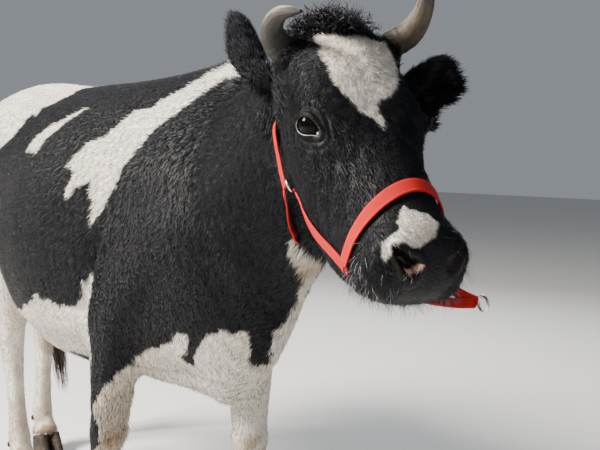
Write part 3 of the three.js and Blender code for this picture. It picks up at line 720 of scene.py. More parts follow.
# The right foreleg is black behind this line: up and forward.
FORELEG_EDGE = [
    (240, 50), (330, 103), (400, 164), (419, 188), (453, 180), (498, 182), (513, 160), (540, 186),
    (572, 210), (598, 243), (650, 300),
]


def patch(ring, across, up, soft):
    """1 inside a ring and 0 outside it, with an edge as soft as given, in mm."""
    return step(-soft, soft, signed(np.stack((across, up), axis=1), ring))


def markings(points, weights, soft):
    """White hair, stains and bare skin at each point, from 0 to 1."""
    cow, local = to_cow(points), to_head(points)
    ragged = [wobble(cow, size, k) * reach for k, (size, reach) in enumerate([(16, 3.2)] * 2 + [(45, 5)] * 2)]
    x, y, z = cow.T
    x, z = x + ragged[0] + ragged[2], z + ragged[1] + ragged[3]
    part = {name: weights[:, k] for k, name in enumerate(REGIONS)}
    trunk = part["trunk"] + part["neck"]
    on_right = step(28, 12, y)
    white = np.zeros(len(cow))

    def add(amount, where):
        np.maximum(white, amount * where, out=white)

    body = sum((part[leg] for leg in LEGS), trunk)
    for ring in (BAND, STREAK, RUMP):
        add(patch(ring, x, z, soft), body * on_right)
    for ring in (LEFT_BAND, LEFT_FLANK, LEFT_RUMP):
        add(patch(ring, x, z, soft), body * (1 - on_right))
    add(patch(BELLY, x, z, soft), (trunk + part["foreleg_right"]) * (y < 0))
    add(patch(LEFT_BELLY, x, z, soft), trunk * (y >= 0))
    round_chest = x - 0.5 * np.abs(y)
    chest = body * (cow[:, 0] > 60)
    add(patch(BRISKET, round_chest, z, soft) * step(12, -4, y), chest)
    add(patch(LEFT_BRISKET, round_chest, z, soft) * step(-4, 12, y), chest)
    oblique = 0.664 * x + 0.748 * y
    rim = step(3, -3, y - np.interp(z, *zip(*THROAT_RIM)))
    add(patch(THROAT, oblique, z, soft) * rim, (cow[:, 0] > 600) * (y < 70) * (part["neck"] + part["trunk"]))
    # legs
    edge = np.interp(z, *zip(*FORELEG_EDGE))
    outer = step(-soft, soft, x - edge + 0.5 * (y + 165))
    low = step(640, 615, z)
    fore = part["foreleg_right"]
    white = np.where(fore > 0.5, np.maximum(white * (1 - low), outer * low), white)
    add(step(635, 610, z + 0.25 * (x - 400)), part["foreleg_left"])
    for side, _ in SIDES:
        add(step(905, 880, z + 0.4 * (x + 600)), part[f"hindleg_{side}"])
    add(np.ones(len(cow)), part["udder"])
    # the face
    down, left, out = local.T
    down, left = down + ragged[0] * 0.9, left + ragged[1] * 0.9
    face = part["head"] * (out > -62)
    add(patch(BLAZE, down, left, soft * 0.8), face)
    add(patch(SADDLE, down, left, soft * 0.6), part["head"] * (out > -82))
    jaw = step(-205, -214, out) * step(350, 325, down) * step(-64, -48, left)
    jaw = jaw * step(250, 285, down) * step(-262, -250, out)
    add(jaw, part["head"] + part["neck"] * (down > 100))
    # a fleck over the nose and one at the edge of the left ear
    add(step(5, 2, np.linalg.norm(local - (411, -36, -22), axis=1)), part["head"])
    add(0.9 * step(16, 8, np.linalg.norm(local - (63, 233, -86), axis=1)), part["ear_left"])
    # dirt and warm tints in the white
    stain = 0.55 * step(-0.1, 0.8, wobble(cow, 70, 21)) * step(640, 420, z)
    for more in (
        0.9 * bump(cow, (205, -175, 425), 62) * step(-0.7, 0.5, wobble(cow, 22, 8)),  # the knees
        0.8 * bump(cow, (462, 70, 420), 55) * step(-0.7, 0.5, wobble(cow, 22, 9)),
        0.5 * step(430, 240, z) * (x < -300) * step(-0.6, 0.7, wobble(cow, 40, 33)),  # the hind shanks
        0.85 * step(200, 100, z) * step(-0.9, 0.3, wobble(cow, 25, 34)),  # above the hooves
        0.75 * bump(cow, (800, -72, 925), 48),  # the throat
        0.32 * bump(cow, (300, -150, 690), 90),  # behind the elbow
        0.35 * bump(local, (62, -30, 12), 42) + 0.18 * bump(local, (430, -10, -30), 30),  # the face
        0.35 * step(0.2, 1, wobble(cow, 160, 31)) * step(1000, 700, z),
    ):
        stain = np.maximum(stain, more)
    # bare skin: the muzzle, nostrils and udder
    nose = step(441, 449, down + 0.10 * np.abs(left)) * step(-118, -108, out)
    nose = nose * step(45, 37, left) * step(-38, -30, left)
    pit = np.zeros(len(cow))
    for apart in (-36, 46):
        pit = np.maximum(pit, step(23, 16, np.linalg.norm(local - (462, apart, -52), axis=1)))
    lips = ridge(out + 122, 5) * step(420, 440, down) * step(60, 45, np.abs(left))
    bare = np.maximum(nose, np.maximum(pit, 0.9 * lips)) * part["head"]
    bare = np.maximum(bare * (1 - patch(SADDLE, down, left, 2)), part["udder"])
    pink = np.maximum(patch(PINK, down, left, 1.3) * (out > -75) * part["head"], 0.85 * part["udder"])
    values = {"white": white, "stain": stain, "bare": bare, "pink": pink}
    return {key: np.clip(value, 0, 1) for key, value in values.items()}


# ---------------------------------------------------------------- finishes


def node_group(name, inputs, outputs):
    group = bpy.data.node_groups.new(name, "ShaderNodeTree")
    for socket, kind, value in inputs:
        group.interface.new_socket(name=socket, in_out="INPUT", socket_type=kind).default_value = value
    for socket, kind in outputs:
        group.interface.new_socket(name=socket, in_out="OUTPUT", socket_type=kind)
    return group, group.nodes.new("NodeGroupInput").outputs, group.nodes.new("NodeGroupOutput").inputs


class Tree:
    """Short ways to add nodes to a tree. An input may be another node's socket or a plain value."""

    def __init__(self, tree, shader=None):
        self.tree, self.shader = tree, shader

    def add(self, kind, inputs=(), **settings):
        node = self.tree.nodes.new(kind)
        for key, value in settings.items():
            setattr(node, key, value)
        for key, value in dict(inputs).items():
            self.feed(node.inputs[key], value)
        return node

    def feed(self, socket, value):
        if isinstance(value, bpy.types.NodeSocket):
            self.tree.links.new(value, socket)
        elif value is not None:
            socket.default_value = value

    def mix(self, factor, a, b):
        node = self.add("ShaderNodeMix", data_type="RGBA")
        self.feed(next(s for s in node.inputs if s.name == "Factor"), factor)
        for name, value in (("A", a), ("B", b)):
            self.feed(next(s for s in node.inputs if s.name == name and s.type == "RGBA"), value)
        return next(s for s in node.outputs if s.type == "RGBA")

    def math(self, operation, a, b=None, c=None):
        node = self.add("ShaderNodeMath", operation=operation)
        for socket, value in zip(node.inputs, (a, b, c)):
            self.feed(socket, value)
        return node.outputs[0]

    def times(self, a, b):
        return self.math("MULTIPLY", a, b)

    def ramp(self, factor, low, high, amount=None):
        """From 0 where the factor is low to 1, or to the amount, where it is high."""
        limits = {"Value": factor, "From Min": low, "From Max": high}
        out = self.add("ShaderNodeMapRange", limits, clamp=True).outputs[0]
        return out if amount is None else self.times(out, amount)

    def noise(self, scale, detail=3.0, stretch=None, at=None, rough=0.5):
        at = at or self.add("ShaderNodeTexCoord").outputs["Object"]
        if stretch:
            at = self.add("ShaderNodeMapping", {"Vector": at, "Scale": stretch}).outputs[0]
        settings = {"Vector": at, "Scale": scale, "Detail": detail, "Roughness": rough}
        return self.add("ShaderNodeTexNoise", settings).outputs["Fac"]

    def value(self, name):
        return self.add("ShaderNodeAttribute", attribute_name=name).outputs["Fac"]

    def dress(self, colour, roughness=None, relief=None):
        """Gives the shader its colour and, where wanted, roughness and relief: height, strength, depth."""
        self.feed(self.shader.inputs["Base Color"], colour)
        self.feed(self.shader.inputs["Roughness"], roughness)
        if relief:
            bumps = self.add("ShaderNodeBump", dict(zip(("Height", "Strength", "Distance"), relief)))
            self.feed(self.shader.inputs["Normal"], bumps.outputs["Normal"])


def finish(name, **sockets):
    """A material with its Principled BSDF's plain values set, and its Tree."""
    material = bpy.data.materials.new(name)
    material.use_nodes = True
    shader = material.node_tree.nodes["Principled BSDF"]
    for key, value in sockets.items():
        shader.inputs[key.replace("_", " ")].default_value = value
    return material, Tree(material.node_tree, shader)


FLOAT, COLOR = "NodeSocketFloat", "NodeSocketColor"
SKY_SHINE = (0.84, 0.90, 1, 1)  # dark hair shines a little blue
coat_colour, given, result = node_group(
    "coat colour",
    [("White", FLOAT, 0), ("Stain", FLOAT, 0), ("Tint", FLOAT, 0.5), ("Shade", FLOAT, 1)],
    [("Color", COLOR)],
)
t = Tree(coat_colour)
patches = t.noise(9.0, 4.0)
black = t.mix(given["Tint"], (0.0028, 0.0030, 0.0044, 1), (0.0095, 0.0098, 0.0130, 1))
black = t.mix(t.ramp(patches, 0.5, 0.72, 0.35), black, (0.013, 0.0110, 0.0110, 1))
white = t.mix(given["Tint"], (0.52, 0.475, 0.41, 1), (0.96, 0.925, 0.85, 1))
white = t.mix(t.ramp(patches, 0.42, 0.7, 0.25), white, (0.66, 0.59, 0.46, 1))
white = t.mix(given["Stain"], white, (0.30, 0.19, 0.10, 1))
both = t.mix(given["White"], black, white)
# Shade scales the colour towards black: painted shade, used at each hair's root and on the skin under the
# coat
t.feed(result["Color"], t.mix(given["Shade"], (0, 0, 0, 1), both))


def colour_of_coat(tree, tint, shade):
    """The coat's colour from the mesh's own marks."""
    inputs = {"White": tree.value("white"), "Stain": tree.value("stain"), "Tint": tint, "Shade": shade}
    return tree.add("ShaderNodeGroup", inputs, node_tree=coat_colour).outputs["Color"]


def coat_look(name, roughness, shade, shine=0.16):
    """Hair: its colour from the tuft's own values, with painted shade darkening it towards the root."""
    material, tree = finish(name, Roughness=roughness, Specular_IOR_Level=shine, Specular_Tint=SKY_SHINE)
    dark = tree.math("MULTIPLY_ADD", tree.value("tip"), 1 - shade, shade)
    tree.dress(colour_of_coat(tree, tree.value("tint"), dark))
    return material


def skin_look():
    """The skin under the coat, and leather or pink skin where it is bare."""
    material, tree = finish("skin", Specular_IOR_Level=0.15)
    streaks = tree.noise(160.0, 2.0, stretch=(0.35, 1.0, 1.0))
    at = tree.add("ShaderNodeTexCoord").outputs["Object"]
    cells = tree.add("ShaderNodeTexVoronoi", {"Vector": at, "Scale": 330.0}, feature="SMOOTH_F1")
    cells = cells.outputs["Distance"]
    leather = tree.mix(tree.ramp(cells, 0.1, 0.75), (0.0060, 0.0056, 0.0074, 1), (0.0026, 0.0024, 0.0034, 1))
    leather = tree.mix(tree.value("pit"), leather, (0.006, 0.0028, 0.0024, 1))
    rosy = tree.mix(tree.ramp(tree.noise(60.0), 0.35, 0.7), (0.62, 0.30, 0.20, 1), (0.80, 0.50, 0.38, 1))
    leather = tree.mix(tree.value("pink"), leather, rosy)
    bare = tree.value("bare")
    height = tree.math("ADD", tree.times(cells, bare), tree.times(streaks, 0.7))
    # under the coat the skin takes the coat's colour at 0.85 of its brightness: painted shade under the hair
    tree.dress(
        tree.mix(bare, colour_of_coat(tree, streaks, 0.85), leather),
        tree.math("MULTIPLY_ADD", bare, -0.12, 0.62),
        (height, 0.7, 0.0014),
    )
    return material


# ---------------------------------------------------------------- the coat

weights = region_weights(skin_mesh, 8)
own = np.argmax(weights, axis=1)
skin_points, skin_normals = points_of(skin_mesh), normals_of(skin_mesh)
marks = markings(skin_points, weights, 4.0)
pit = np.empty(len(skin_points), np.float32)
skin_mesh.attributes["pit"].data.foreach_get("value", pit)
marks["bare"] = np.maximum(marks["bare"], step(0.05, 0.3, pit))
for key, value in marks.items():
    put_values(skin_mesh, key, value)
finish_piece(skin, skin_look())
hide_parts(*REGIONS)


def blended(a, b, share):
    return a * (1 - share[:, None]) + np.array(b) * share[:, None]


def lie_of_coat(points, weights):
    """Which way the hair lies at each point, along the animal's own shape."""
    cow, local = to_cow(points), to_head(points)
    trunk = np.array((-1.0, 0, -0.12)) + step(1360, 1150, cow[:, 2])[:, None] * (0.1, 0, -0.45)
    trunk = blended(trunk, (-1.0, 0, 0), step(680, 600, cow[:, 2]))
    # from the whorl on the forehead outward, then down the face, down the cheeks and back under the jaw
    down, left, out = local.T
    spin = np.stack((down - 98, (left - 8) * 1.15, 0 * down), axis=1)
    spin = unit(spin) * step(0, 12, np.linalg.norm(spin, axis=1))[:, None]
    face = blended(spin, (1.0, 0, 0), step(120, 300, down))
    face = blended(face, (0.25, 0, -0.97), step(-50, -110, out))
    face = blended(face, (-0.8, 0, -0.3), step(-170, -215, out))
    ways = {"head": face @ HEAD.T, "neck": (-0.86, 0.24, -0.62), "trunk": trunk}
    ways.update({name: (-0.16, 0, -1.0) for name in (*LEGS, "tail", "udder")})
    ways.update({name: ear_axes(name)[1] for name in EARS})
    total = sum(column(weights, name)[:, None] * way for name, way in ways.items())
    sway = np.stack([wobble(cow, 60, k) for k in (41, 42, 43)], axis=1) * 0.16
    return unit(total) + sway


lie = lie_of_coat(skin_points, weights)

# For each region: tufts to the square metre, and their length, half width and lift in mm.
TUFTS = {
    "head": (230000, 10.5, 0.62, 2.4),
    "neck": (76000, 20, 1.0, 3.8),
    "trunk": (52000, 19, 1.15, 3.2),
    "leg": (36000, 14, 1.15, 2.6),
    "tail": (70000, 18, 1.0, 3.0),
    "udder": (30000, 7, 0.5, 1.6),
    "ear": (170000, 16, 0.7, 4.2),
}
KIND = ["leg" if "leg" in name else "ear" if "ear_" in name else name for name in REGIONS]
density, length, half, lift = (weights @ np.array([TUFTS[kind][k] for kind in KIND]) for k in range(4))
skin_local, skin_cow = to_head(skin_points), to_cow(skin_points)
skin_down, skin_left, skin_out = skin_local.T
skin_x, skin_z = skin_cow[:, 0], skin_cow[:, 2]
# shorter and finer low on the legs, down the face and at the lids
low = step(600, 250, skin_z)
length, half = length * (1 - 0.25 * low), half * (1 - 0.2 * low)
front = column(weights, "head") * step(240, 400, skin_down)
length, half = length * (1 - 0.35 * front), half * (1 - 0.2 * front)
lid_gap = np.full(len(skin_points), 99.0)
for s in (-1, 1):
    lid = in_lids(skin_local, s)
    gap = -signed(lid[:, :2], LID_RING)
    lid_gap = np.minimum(lid_gap, np.where((lid[:, 2] > -12) & (lid[:, 2] < 45), gap, 99))
length *= 0.45 + 0.55 * step(2, 24, lid_gap)
half *= 0.6 + 0.4 * step(2, 24, lid_gap)
bare_here = np.maximum(marks["bare"], lid_gap < 2.2)
density = density * (1 - bare_here) * 1.0
# longer and fuller on the crest of the neck, at the throat and under the jaw
crest = column(weights, "neck") * step(0.55, 0.9, skin_normals[:, 2])
length *= 1 + 0.8 * crest
lift *= 1 + 0.9 * crest
fluff = bump(skin_cow, (830, -90, 960), 90)
fluff = fluff + bump(skin_local, (250, -10, -225), 110) * step(-190, -205, skin_out)
length *= 1 + 0.8 * np.minimum(fluff, 1)
lift *= 1 + 1.4 * np.minimum(fluff, 1)

triangles = triangles_of(skin_mesh)
corners = skin_points[triangles]
area = 0.5 * np.linalg.norm(np.cross(corners[:, 1] - corners[:, 0], corners[:, 2] - corners[:, 0]), axis=1)
tri_owner = own[triangles[:, 0]]
tri_middle = corners.mean(axis=1)

# The line that each region is unrolled from, in mm: on the head's axes for the head.
AXES = {
    "head": ((-60, 0, -95), (510, 0, -95)),
    "neck": ((380, 0, 985), (980, -168, 1240)),
    "trunk": ((-900, 0, 970), (700, 0, 970)),
    "tail": ((-935, 40, 1360), (-952, 144, 600)),
    "udder": ((-430, 0, 800), (-420, 0, 540)),
    "foreleg_right": ((330, -170, 1150), (110, -158, 60)),
    "foreleg_left": ((400, 140, 1150), (445, 104, 60)),
    "hindleg_right": ((-600, -150, 1300), (-650, -78, 60)),
    "hindleg_left": ((-620, 150, 1300), (-880, 98, 60)),
}
for name in EARS:
    start, ahead = ear_axes(name)[:2]
    AXES[name] = (start - 10 * ahead, start + 230 * ahead)


def unrolled(points, name):
    """Each point's place on the region rolled out flat: round its axis and along it, both from 0 to 1."""
    start, end = (on_head if name == "head" else to_frame)(AXES[name])
    along = end - start
    across = unit(np.cross(along, (0.31, 0.9, 0.3)))
    third = np.cross(unit(along), across)
    away = points - start
    turned = np.arctan2(away @ third, away @ across) / (2 * np.pi) + 0.5
    return 0.02 + 0.96 * np.clip(np.stack((turned, away @ along / (along @ along)), axis=1), 0, 1)


strap_lines = []  # filled by the halter: (points, half width) of each strap, in metres


def places_on(tri):
    """A random place on each of the skin's triangles, as a reader of what the skin's values are there."""
    a, b = rng.random((2, len(tri)))
    flip = a + b > 1
    a[flip], b[flip] = 1 - a[flip], 1 - b[flip]
    share = np.stack((1 - a - b, a, b), axis=1)

    def here(values):
        return np.einsum("ij,ij...->i...", share, values[triangles[tri]])
    return here


def covered(points, margin=0.0012):
    """Which points lie under a strap of the halter."""
    hidden = np.zeros(len(points), bool)
    for line, reach in strap_lines:
        low, high = line.min(0) - 0.03, line.max(0) + 0.03
        near = np.flatnonzero(np.all((points > low) & (points < high), axis=1))
        tree = KDTree(len(line))
        for k, p in enumerate(line):
            tree.insert(p, k)
        tree.balance()
        hidden[near] |= np.array([tree.find(p)[2] < reach + margin for p in points[near].tolist()], bool)
    return hidden


CLUMP = 7.0  # mm across a clump of tufts
ROOT_DEPTH = 0.0008  # how far a tuft's root goes into the skin


def short_coat(name, mine, axis, look):
    """Short tufts over the triangles that are mine, as one piece."""
    chosen = np.flatnonzero(mine)
    expected = area[chosen] * density[triangles[chosen]].mean(axis=1)
    counts = np.floor(expected + rng.random(len(chosen))).astype(int)
    here = places_on(np.repeat(chosen, counts))
    n = counts.sum()
    root, normal = here(skin_points), unit(here(skin_normals))
    long, wide, high = (here(v) * rng.uniform(0.75, 1.25, n) / 1000 for v in (length, half, lift))
    # tufts hold together in small clumps that lean and stand alike
    lean, stand, shade = (wobble(to_cow(root), CLUMP, seed) for seed in (51, 52, 53))
    ahead = here(lie) + rng.normal(0, 0.10, (n, 3)) + np.cross(normal, here(lie)) * (0.24 * lean)[:, None]
    ahead = flattened(ahead, normal)
    high = high * np.clip(1 + 0.55 * stand, 0.2, 2)
    keep = ~covered(root + ahead * long[:, None] * 0.3)
    root, normal, ahead, long, wide, high, shade, white, stain = (v[keep] for v in (
        root, normal, ahead, long, wide, high, shade, here(hair_marks["white"]), here(hair_marks["stain"])))
    n = len(root)
    white = white + rng.normal(0, 0.7, n) * white * (1 - white) > 0.5
    # the tint follows the clumps: partly the hair's own tone, partly painted light and shade between them
    tint = np.clip(0.5 + 0.36 * shade + rng.normal(0, 0.24, n), 0, 1)
    values = {"white": white * 1.0, "stain": stain, "tint": tint}
    tips = root + ahead * long[:, None] + normal * high[:, None]
    paths = np.stack((root - normal * ROOT_DEPTH, tips), axis=1)
    piece = locks(name, root, paths, wide[:, None], normal, 0.75, values, unrolled(root, axis))
    finish_piece(piece, look, smooth=False)
    return n


# painted shade: hair darkens towards its root, to 0.55 of its colour on the body and to 0.35 on the darker
# ears
hair_look = coat_look("hair", 0.44, 0.55)
ear_look = coat_look("ear_hair", 0.6, 0.35, 0.07)

# Hair carries its colour to its tip, so a marking's edge is read a little way along the hair from its root.
read_at = skin_points + flattened(lie, skin_normals) * (0.6 * length / 1000)[:, None]
hair_marks = markings(read_at, weights, 4.0)


def grow_short_coat():
    """Tufts all over: the large regions in right and left pieces, and the trunk's also in rear and fore."""
    total = 0
    head_left, body_left = to_head(tri_middle)[:, 1] > 0, tri_middle[:, 1] > to_frame((0, 0, 0))[1]
    rear = to_cow(tri_middle)[:, 0] < -180
    for k, name in enumerate(REGIONS):
        mine, look = tri_owner == k, ear_look if name in EARS else hair_look
        parts = {name: mine}
        if name in ("head", "neck", "trunk"):
            left = head_left if name == "head" else body_left
            parts = {f"{name}_right": mine & ~left, f"{name}_left": mine & left}
        if name == "trunk":
            sides = (("right", ~body_left), ("left", body_left))
            ends = (("rear", rear), ("fore", ~rear))
            parts = {f"trunk_{end}_{side}": mine & on & at for side, on in sides for end, at in ends}
        total += sum(short_coat(f"coat_{part}", chosen, name, look) for part, chosen in parts.items())
    print("tufts", total)


# ---------------------------------------------------------------- eyes and lids


def ball(name, place, sizes, segments):
    bm = bmesh.new()
    bmesh.ops.create_uvsphere(bm, u_segments=segments, v_segments=segments // 2, radius=1)
    for v in bm.verts:
        v.co = on_head(np.asarray(place) + np.array(v.co) * sizes)
    return piece_of(made(bm, name), name)


eye_look, t = finish("eye", Roughness=0.10, Specular_IOR_Level=0.07)
off_gaze = t.value("off_gaze")
iris = t.mix(t.ramp(t.noise(420.0, 2.0), 0.35, 0.7), (0.003, 0.0022, 0.002, 1), (0.0085, 0.0055, 0.0045, 1))
iris = t.mix(t.ramp(off_gaze, 0.62, 0.80), iris, (0.006, 0.005, 0.006, 1))
iris = t.mix(t.ramp(off_gaze, 1.12, 1.3), iris, (0.14, 0.10, 0.09, 1))
t.dress(t.mix(t.ramp(t.value("pupil"), 1.1, 0.9), iris, (0.0015, 0.0015, 0.002, 1)))

rim_look, t = finish("lid_rim", Roughness=0.32, Specular_IOR_Level=0.6)
pale = t.mix(t.ramp(t.noise(240.0, 2.0), 0.3, 0.7), (0.20, 0.185, 0.185, 1), (0.36, 0.34, 0.35, 1))
t.dress(t.mix(t.value("pale"), (0.010, 0.009, 0.010, 1), pale))

dark_hair, t = finish("dark_hair", Roughness=0.4, Specular_IOR_Level=0.5)
t.dress(t.mix(t.value("tint"), (0.006, 0.005, 0.006, 1), (0.030, 0.021, 0.017, 1)))


def on_lids(t, s, lift):
    """Points of the opening's edge on the outside of the lids, in the frame, and the same in its plane."""
    spots = lid_line(t)
    gaze = HEAD @ side_of(GAZE, s)
    far = on_head(by_eye(s, spots[:, :1], spots[:, 1:], 60))
    hits = [closed_eyes.ray_cast(Vector(p), Vector(-gaze))[0] for p in far]
    return np.array([h if h else p - gaze * 0.04 for h, p in zip(hits, far)]) + gaze * lift / 1000, spots


RIM_POINTS, RIM_GIRTH = 72, 0.00075  # round each lid's rim
LASHES = 90  # on each upper lid
LASH_HALVES = np.array((0.34, 0.30, 0.2)) / 1000

for side, s in SIDES:
    eye = ball(f"eyeball_{side}", side_of(EYE, s), (EYE_RADIUS,) * 3, 48)
    long, high, ahead = (unit(to_head(points_of(eye.data)) - side_of(EYE, s)) @ np.stack(
        [side_of(way, s) for way in (LID_LONG, LID_UP, GAZE)], axis=1)).T
    put_values(eye.data, "off_gaze", np.arccos(np.clip(ahead, -1, 1)))
    put_values(eye.data, "pupil", np.where(ahead > 0, np.hypot(long / 0.42, high / 0.24), 9))
    finish_piece(eye, eye_look)
    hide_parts(f"eye_{side}")

    ring, spots = on_lids(np.arange(RIM_POINTS) / RIM_POINTS, s, -0.7)
    ring = (np.roll(ring, 1, axis=0) + ring * 2 + np.roll(ring, -1, axis=0)) / 4
    gaze = HEAD @ side_of(GAZE, s)

    def rim(t, turned):
        k = np.round(t * RIM_POINTS).astype(int) % RIM_POINTS
        ahead = unit(ring[(k + 1) % RIM_POINTS] - ring[k - 1])
        outer = unit(np.cross(ahead, gaze))
        angle = (turned * 2 * np.pi)[:, None]
        return ring[k] + RIM_GIRTH * (np.cos(angle) * outer * 0.85 + np.sin(angle) * gaze)

    def paleness(t, turned):
        long, high = spots[np.round(t * RIM_POINTS).astype(int) % RIM_POINTS].T
        return step(1.5, -5.5, high) * (0.5 + 0.45 * step(-14, -5, long))

    name = f"lid_rim_{side}"
    finish_piece(piece_of(wrap(rim, RIM_POINTS, 10, name, {"pale": paleness}), name), rim_look)
    corner = ball(f"tear_corner_{side}", by_eye(s, 24, -5, 11.5), (6, 4.5, 4.5), 20)
    put_values(corner.data, "pale", np.full(len(corner.data.vertices), 0.10))
    finish_piece(corner, rim_look)

    # lashes along the upper lid
    roots, spots = on_lids(np.sort(rng.uniform(0.58, 0.96, LASHES)), s, -0.2)
    outer = spots[:, :1] * (HEAD @ side_of(LID_LONG, s)) * 0.5
    outer = unit(outer + np.maximum(spots[:, 1:], 2) * (HEAD @ side_of(LID_UP, s)))
    first = unit(gaze + outer * 0.35 + rng.normal(0, 0.10, (LASHES, 3)) + HEAD @ (0.25, 0, 0))
    curve = unit(outer * 0.6 + HEAD @ (0.3, 0, 0) + rng.normal(0, 0.12, (LASHES, 3)))
    reach = rng.uniform(7, 12, LASHES)[:, None] / 1000
    steps = [roots + first * reach * f + curve * reach * 0.45 * f * f for f in (0, 0.35, 0.7, 1.0)]
    paths = np.stack(steps, axis=1)
    halves, values = np.tile(LASH_HALVES, (LASHES, 1)), {"tint": rng.random(LASHES)}
    lashes = locks(f"lashes_{side}", roots, paths, halves, outer, 1.0, values, unrolled(roots, "head"))
    finish_piece(lashes, dark_hair)

# ---------------------------------------------------------------- horns, claws

HORNS = {
    "right": [(34, -64, -44), (33, -92, -34), (26, -108, -22), (20, -119, 0), (29, -115, 32), (57, -97, 57)],
    "left": [(34, 66, -42), (22, 104, -10), (26, 124, 18), (25, 131, 52), (23, 126, 88), (22, 108, 116)],
}
HORN_GIRTH = np.array((24, 24, 23.5, 22, 20, 17, 13.5, 9, 2.8)) / 1000


# For each horn its colours at the base, in the middle and at the tip, then a lighter colour painted on top
# as light falling there, and where along it the base gives way to the middle and the middle to the tip.
HORN_COLOURS = {
    "right": (
        "horn_grey_painted_light", (0.020, 0.019, 0.017), (0.056, 0.052, 0.047), (0.022, 0.020, 0.023),
        (0.33, 0.30, 0.235), (0.40, 0.80), (0.88, 1.02),
    ),
    "left": (
        "horn_brown", (0.028, 0.022, 0.017), (0.085, 0.069, 0.050), (0.050, 0.044, 0.054),
        (0.20, 0.165, 0.12), (0.30, 0.62), (0.66, 0.86),
    ),
}


def horn_look(name, base, middle, tip, above, to_middle, to_tip):
    """Horn streaked along its length, with flakes and dark blotches, and painted light on its upper side."""
    material, t = finish(name, Specular_IOR_Level=0.14)
    along = t.value("along")
    grain = {"X": t.times(along, 2.6), "Y": t.value("cosine"), "Z": t.value("sine")}
    grain = t.add("ShaderNodeCombineXYZ", grain).outputs[0]
    streaks = t.noise(2.6, 6.0, at=grain, rough=0.65)
    blotches = t.noise(7.0, 6.0, at=grain, rough=0.7)
    flakes = t.noise(240.0, 4.0)

    def middle_times(k):
        return (*(min(1, c * k) for c in middle), 1)

    along = t.math("ADD", along, t.math("MULTIPLY_ADD", streaks, 0.36, -0.18))
    # painted light: the side facing up and toward the light takes the lighter top colour; below, painted
    # shade
    colour = t.mix(t.ramp(t.value("painted_top_light"), 0.30, 0.95), middle_times(1), (*above, 1))
    colour = t.mix(t.ramp(along, *to_middle), (*base, 1), colour)
    colour = t.mix(t.ramp(along, *to_tip), colour, (*tip, 1))
    colour = t.mix(t.ramp(streaks, 0.48, 0.60, 0.80), colour, middle_times(0.30))
    colour = t.mix(t.ramp(flakes, 0.55, 0.8, 0.35), colour, middle_times(1.7))
    colour = t.mix(t.ramp(blotches, 0.47, 0.57, 0.5), colour, middle_times(0.50))
    height = t.math("ADD", streaks, t.times(flakes, 0.4))
    t.dress(colour, t.math("MULTIPLY_ADD", flakes, 0.30, 0.42), (height, 0.6, 0.0015))
    return material


for side, s in SIDES:
    def ridges(along, turned, seed=s):
        rings = np.sin(along * 74 + 1.2 * np.sin(turned * 6.28 + seed)) * 0.028 * step(0.55, 0.1, along)
        return 1 + rings + 0.03 * np.sin(turned * 12.6 + along * 7 + seed) * step(1.0, 0.6, along)

    mesh = tube(on_head(HORNS[side]), HORN_GIRTH, 60, 28, f"horn_{side}_shape", HEAD[:, 1], ridges)
    # how far each point faces up and toward the light, for the horn's painted light
    put_values(mesh, "painted_top_light", normals_of(mesh) @ (-0.25, -0.3, 0.92))
    horn = finish_piece(piece_of(mesh, f"horn_{side}_finished"), horn_look(*HORN_COLOURS[side]))
    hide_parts(f"horn_{side}")

claw_look, t = finish("claw", Specular_IOR_Level=0.12)
grain = t.noise(70.0, 5.0, stretch=(1, 1, 0.25))
growth = t.noise(260.0, 2.0, stretch=(0.12, 0.12, 1))
colour = t.mix(t.ramp(grain, 0.35, 0.7), (0.014, 0.012, 0.010, 1), (0.050, 0.039, 0.029, 1))
colour = t.mix(t.ramp(growth, 0.5, 0.7, 0.5), colour, (0.070, 0.056, 0.042, 1))
t.dress(colour, t.math("MULTIPLY_ADD", grain, 0.3, 0.58), (t.math("ADD", growth, grain), 0.5, 0.0012))

CLAW_VOXEL = 0.0032
SOLE = 0.0012  # lower than this a hoof is flat on the ground

for node in [f"{kind}_{leg}_{side}" for leg in LEGS for kind in ("hoof", "dewclaw") for side, _ in SIDES]:
    mesh = remeshed(merged_copy(node), CLAW_VOXEL)
    points, ends = points_of(mesh), edges_of(mesh)
    eased = spread(points, ends, 0.6, 12)
    eased = eased + spread(points - eased, ends, 0.6, 12)
    if node.startswith("hoof"):
        eased[:, 2] = np.where(points[:, 2] < SOLE, 0, np.maximum(eased[:, 2], SOLE / 3))
        ring = 0.0004 * np.sin(eased[:, 2] * 900) * step(0.004, 0.012, eased[:, 2])
        eased += normals_of(mesh) * (1, 1, 0) * ring[:, None]
    set_points(mesh, eased)
    claw = finish_piece(piece_of(mesh, f"{node}_finished"), claw_look)
    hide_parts(node)

# ---------------------------------------------------------------- the halter


def on_skin(down, out, degrees):
    """The place of the skin met from the head's middle plane, looking so many degrees round the face, and
    the way looked."""
    angle = math.radians(degrees)
    way = HEAD @ np.array((0, math.sin(angle), math.cos(angle)))
    start = on_head((down, 0.7, out))
    hit = closed_eyes.ray_cast(Vector(start), Vector(way))[0]
    return np.array(hit), way


def mirrored(guides):
    middle = guides[-1][2]
    return guides + [(down, out, 2 * middle - angle) for down, out, angle in guides[-2::-1]]


# Down the face, out of the forehead and degrees round the face, all the way round.
NOSEBAND = [
    (412, -80, -180), (410, -80, -150), (404, -80, -122), (389, -80, -90), (377, -80, -60), (367, -80, -30),
    (360, -80, 0), (360, -80, 30), (363, -80, 60), (369, -80, 90), (385, -80, 122), (402, -80, 150),
    (412, -80, 180),
]
CROWN = mirrored([(24, -122, -106), (-12, -128, -92), (-34, -136, -60), (-46, -142, -30), (-50, -144, 0)])
THICK = 0.0032
THREAD, STITCH = 0.0021, 0.0042  # along the webbing, in metres

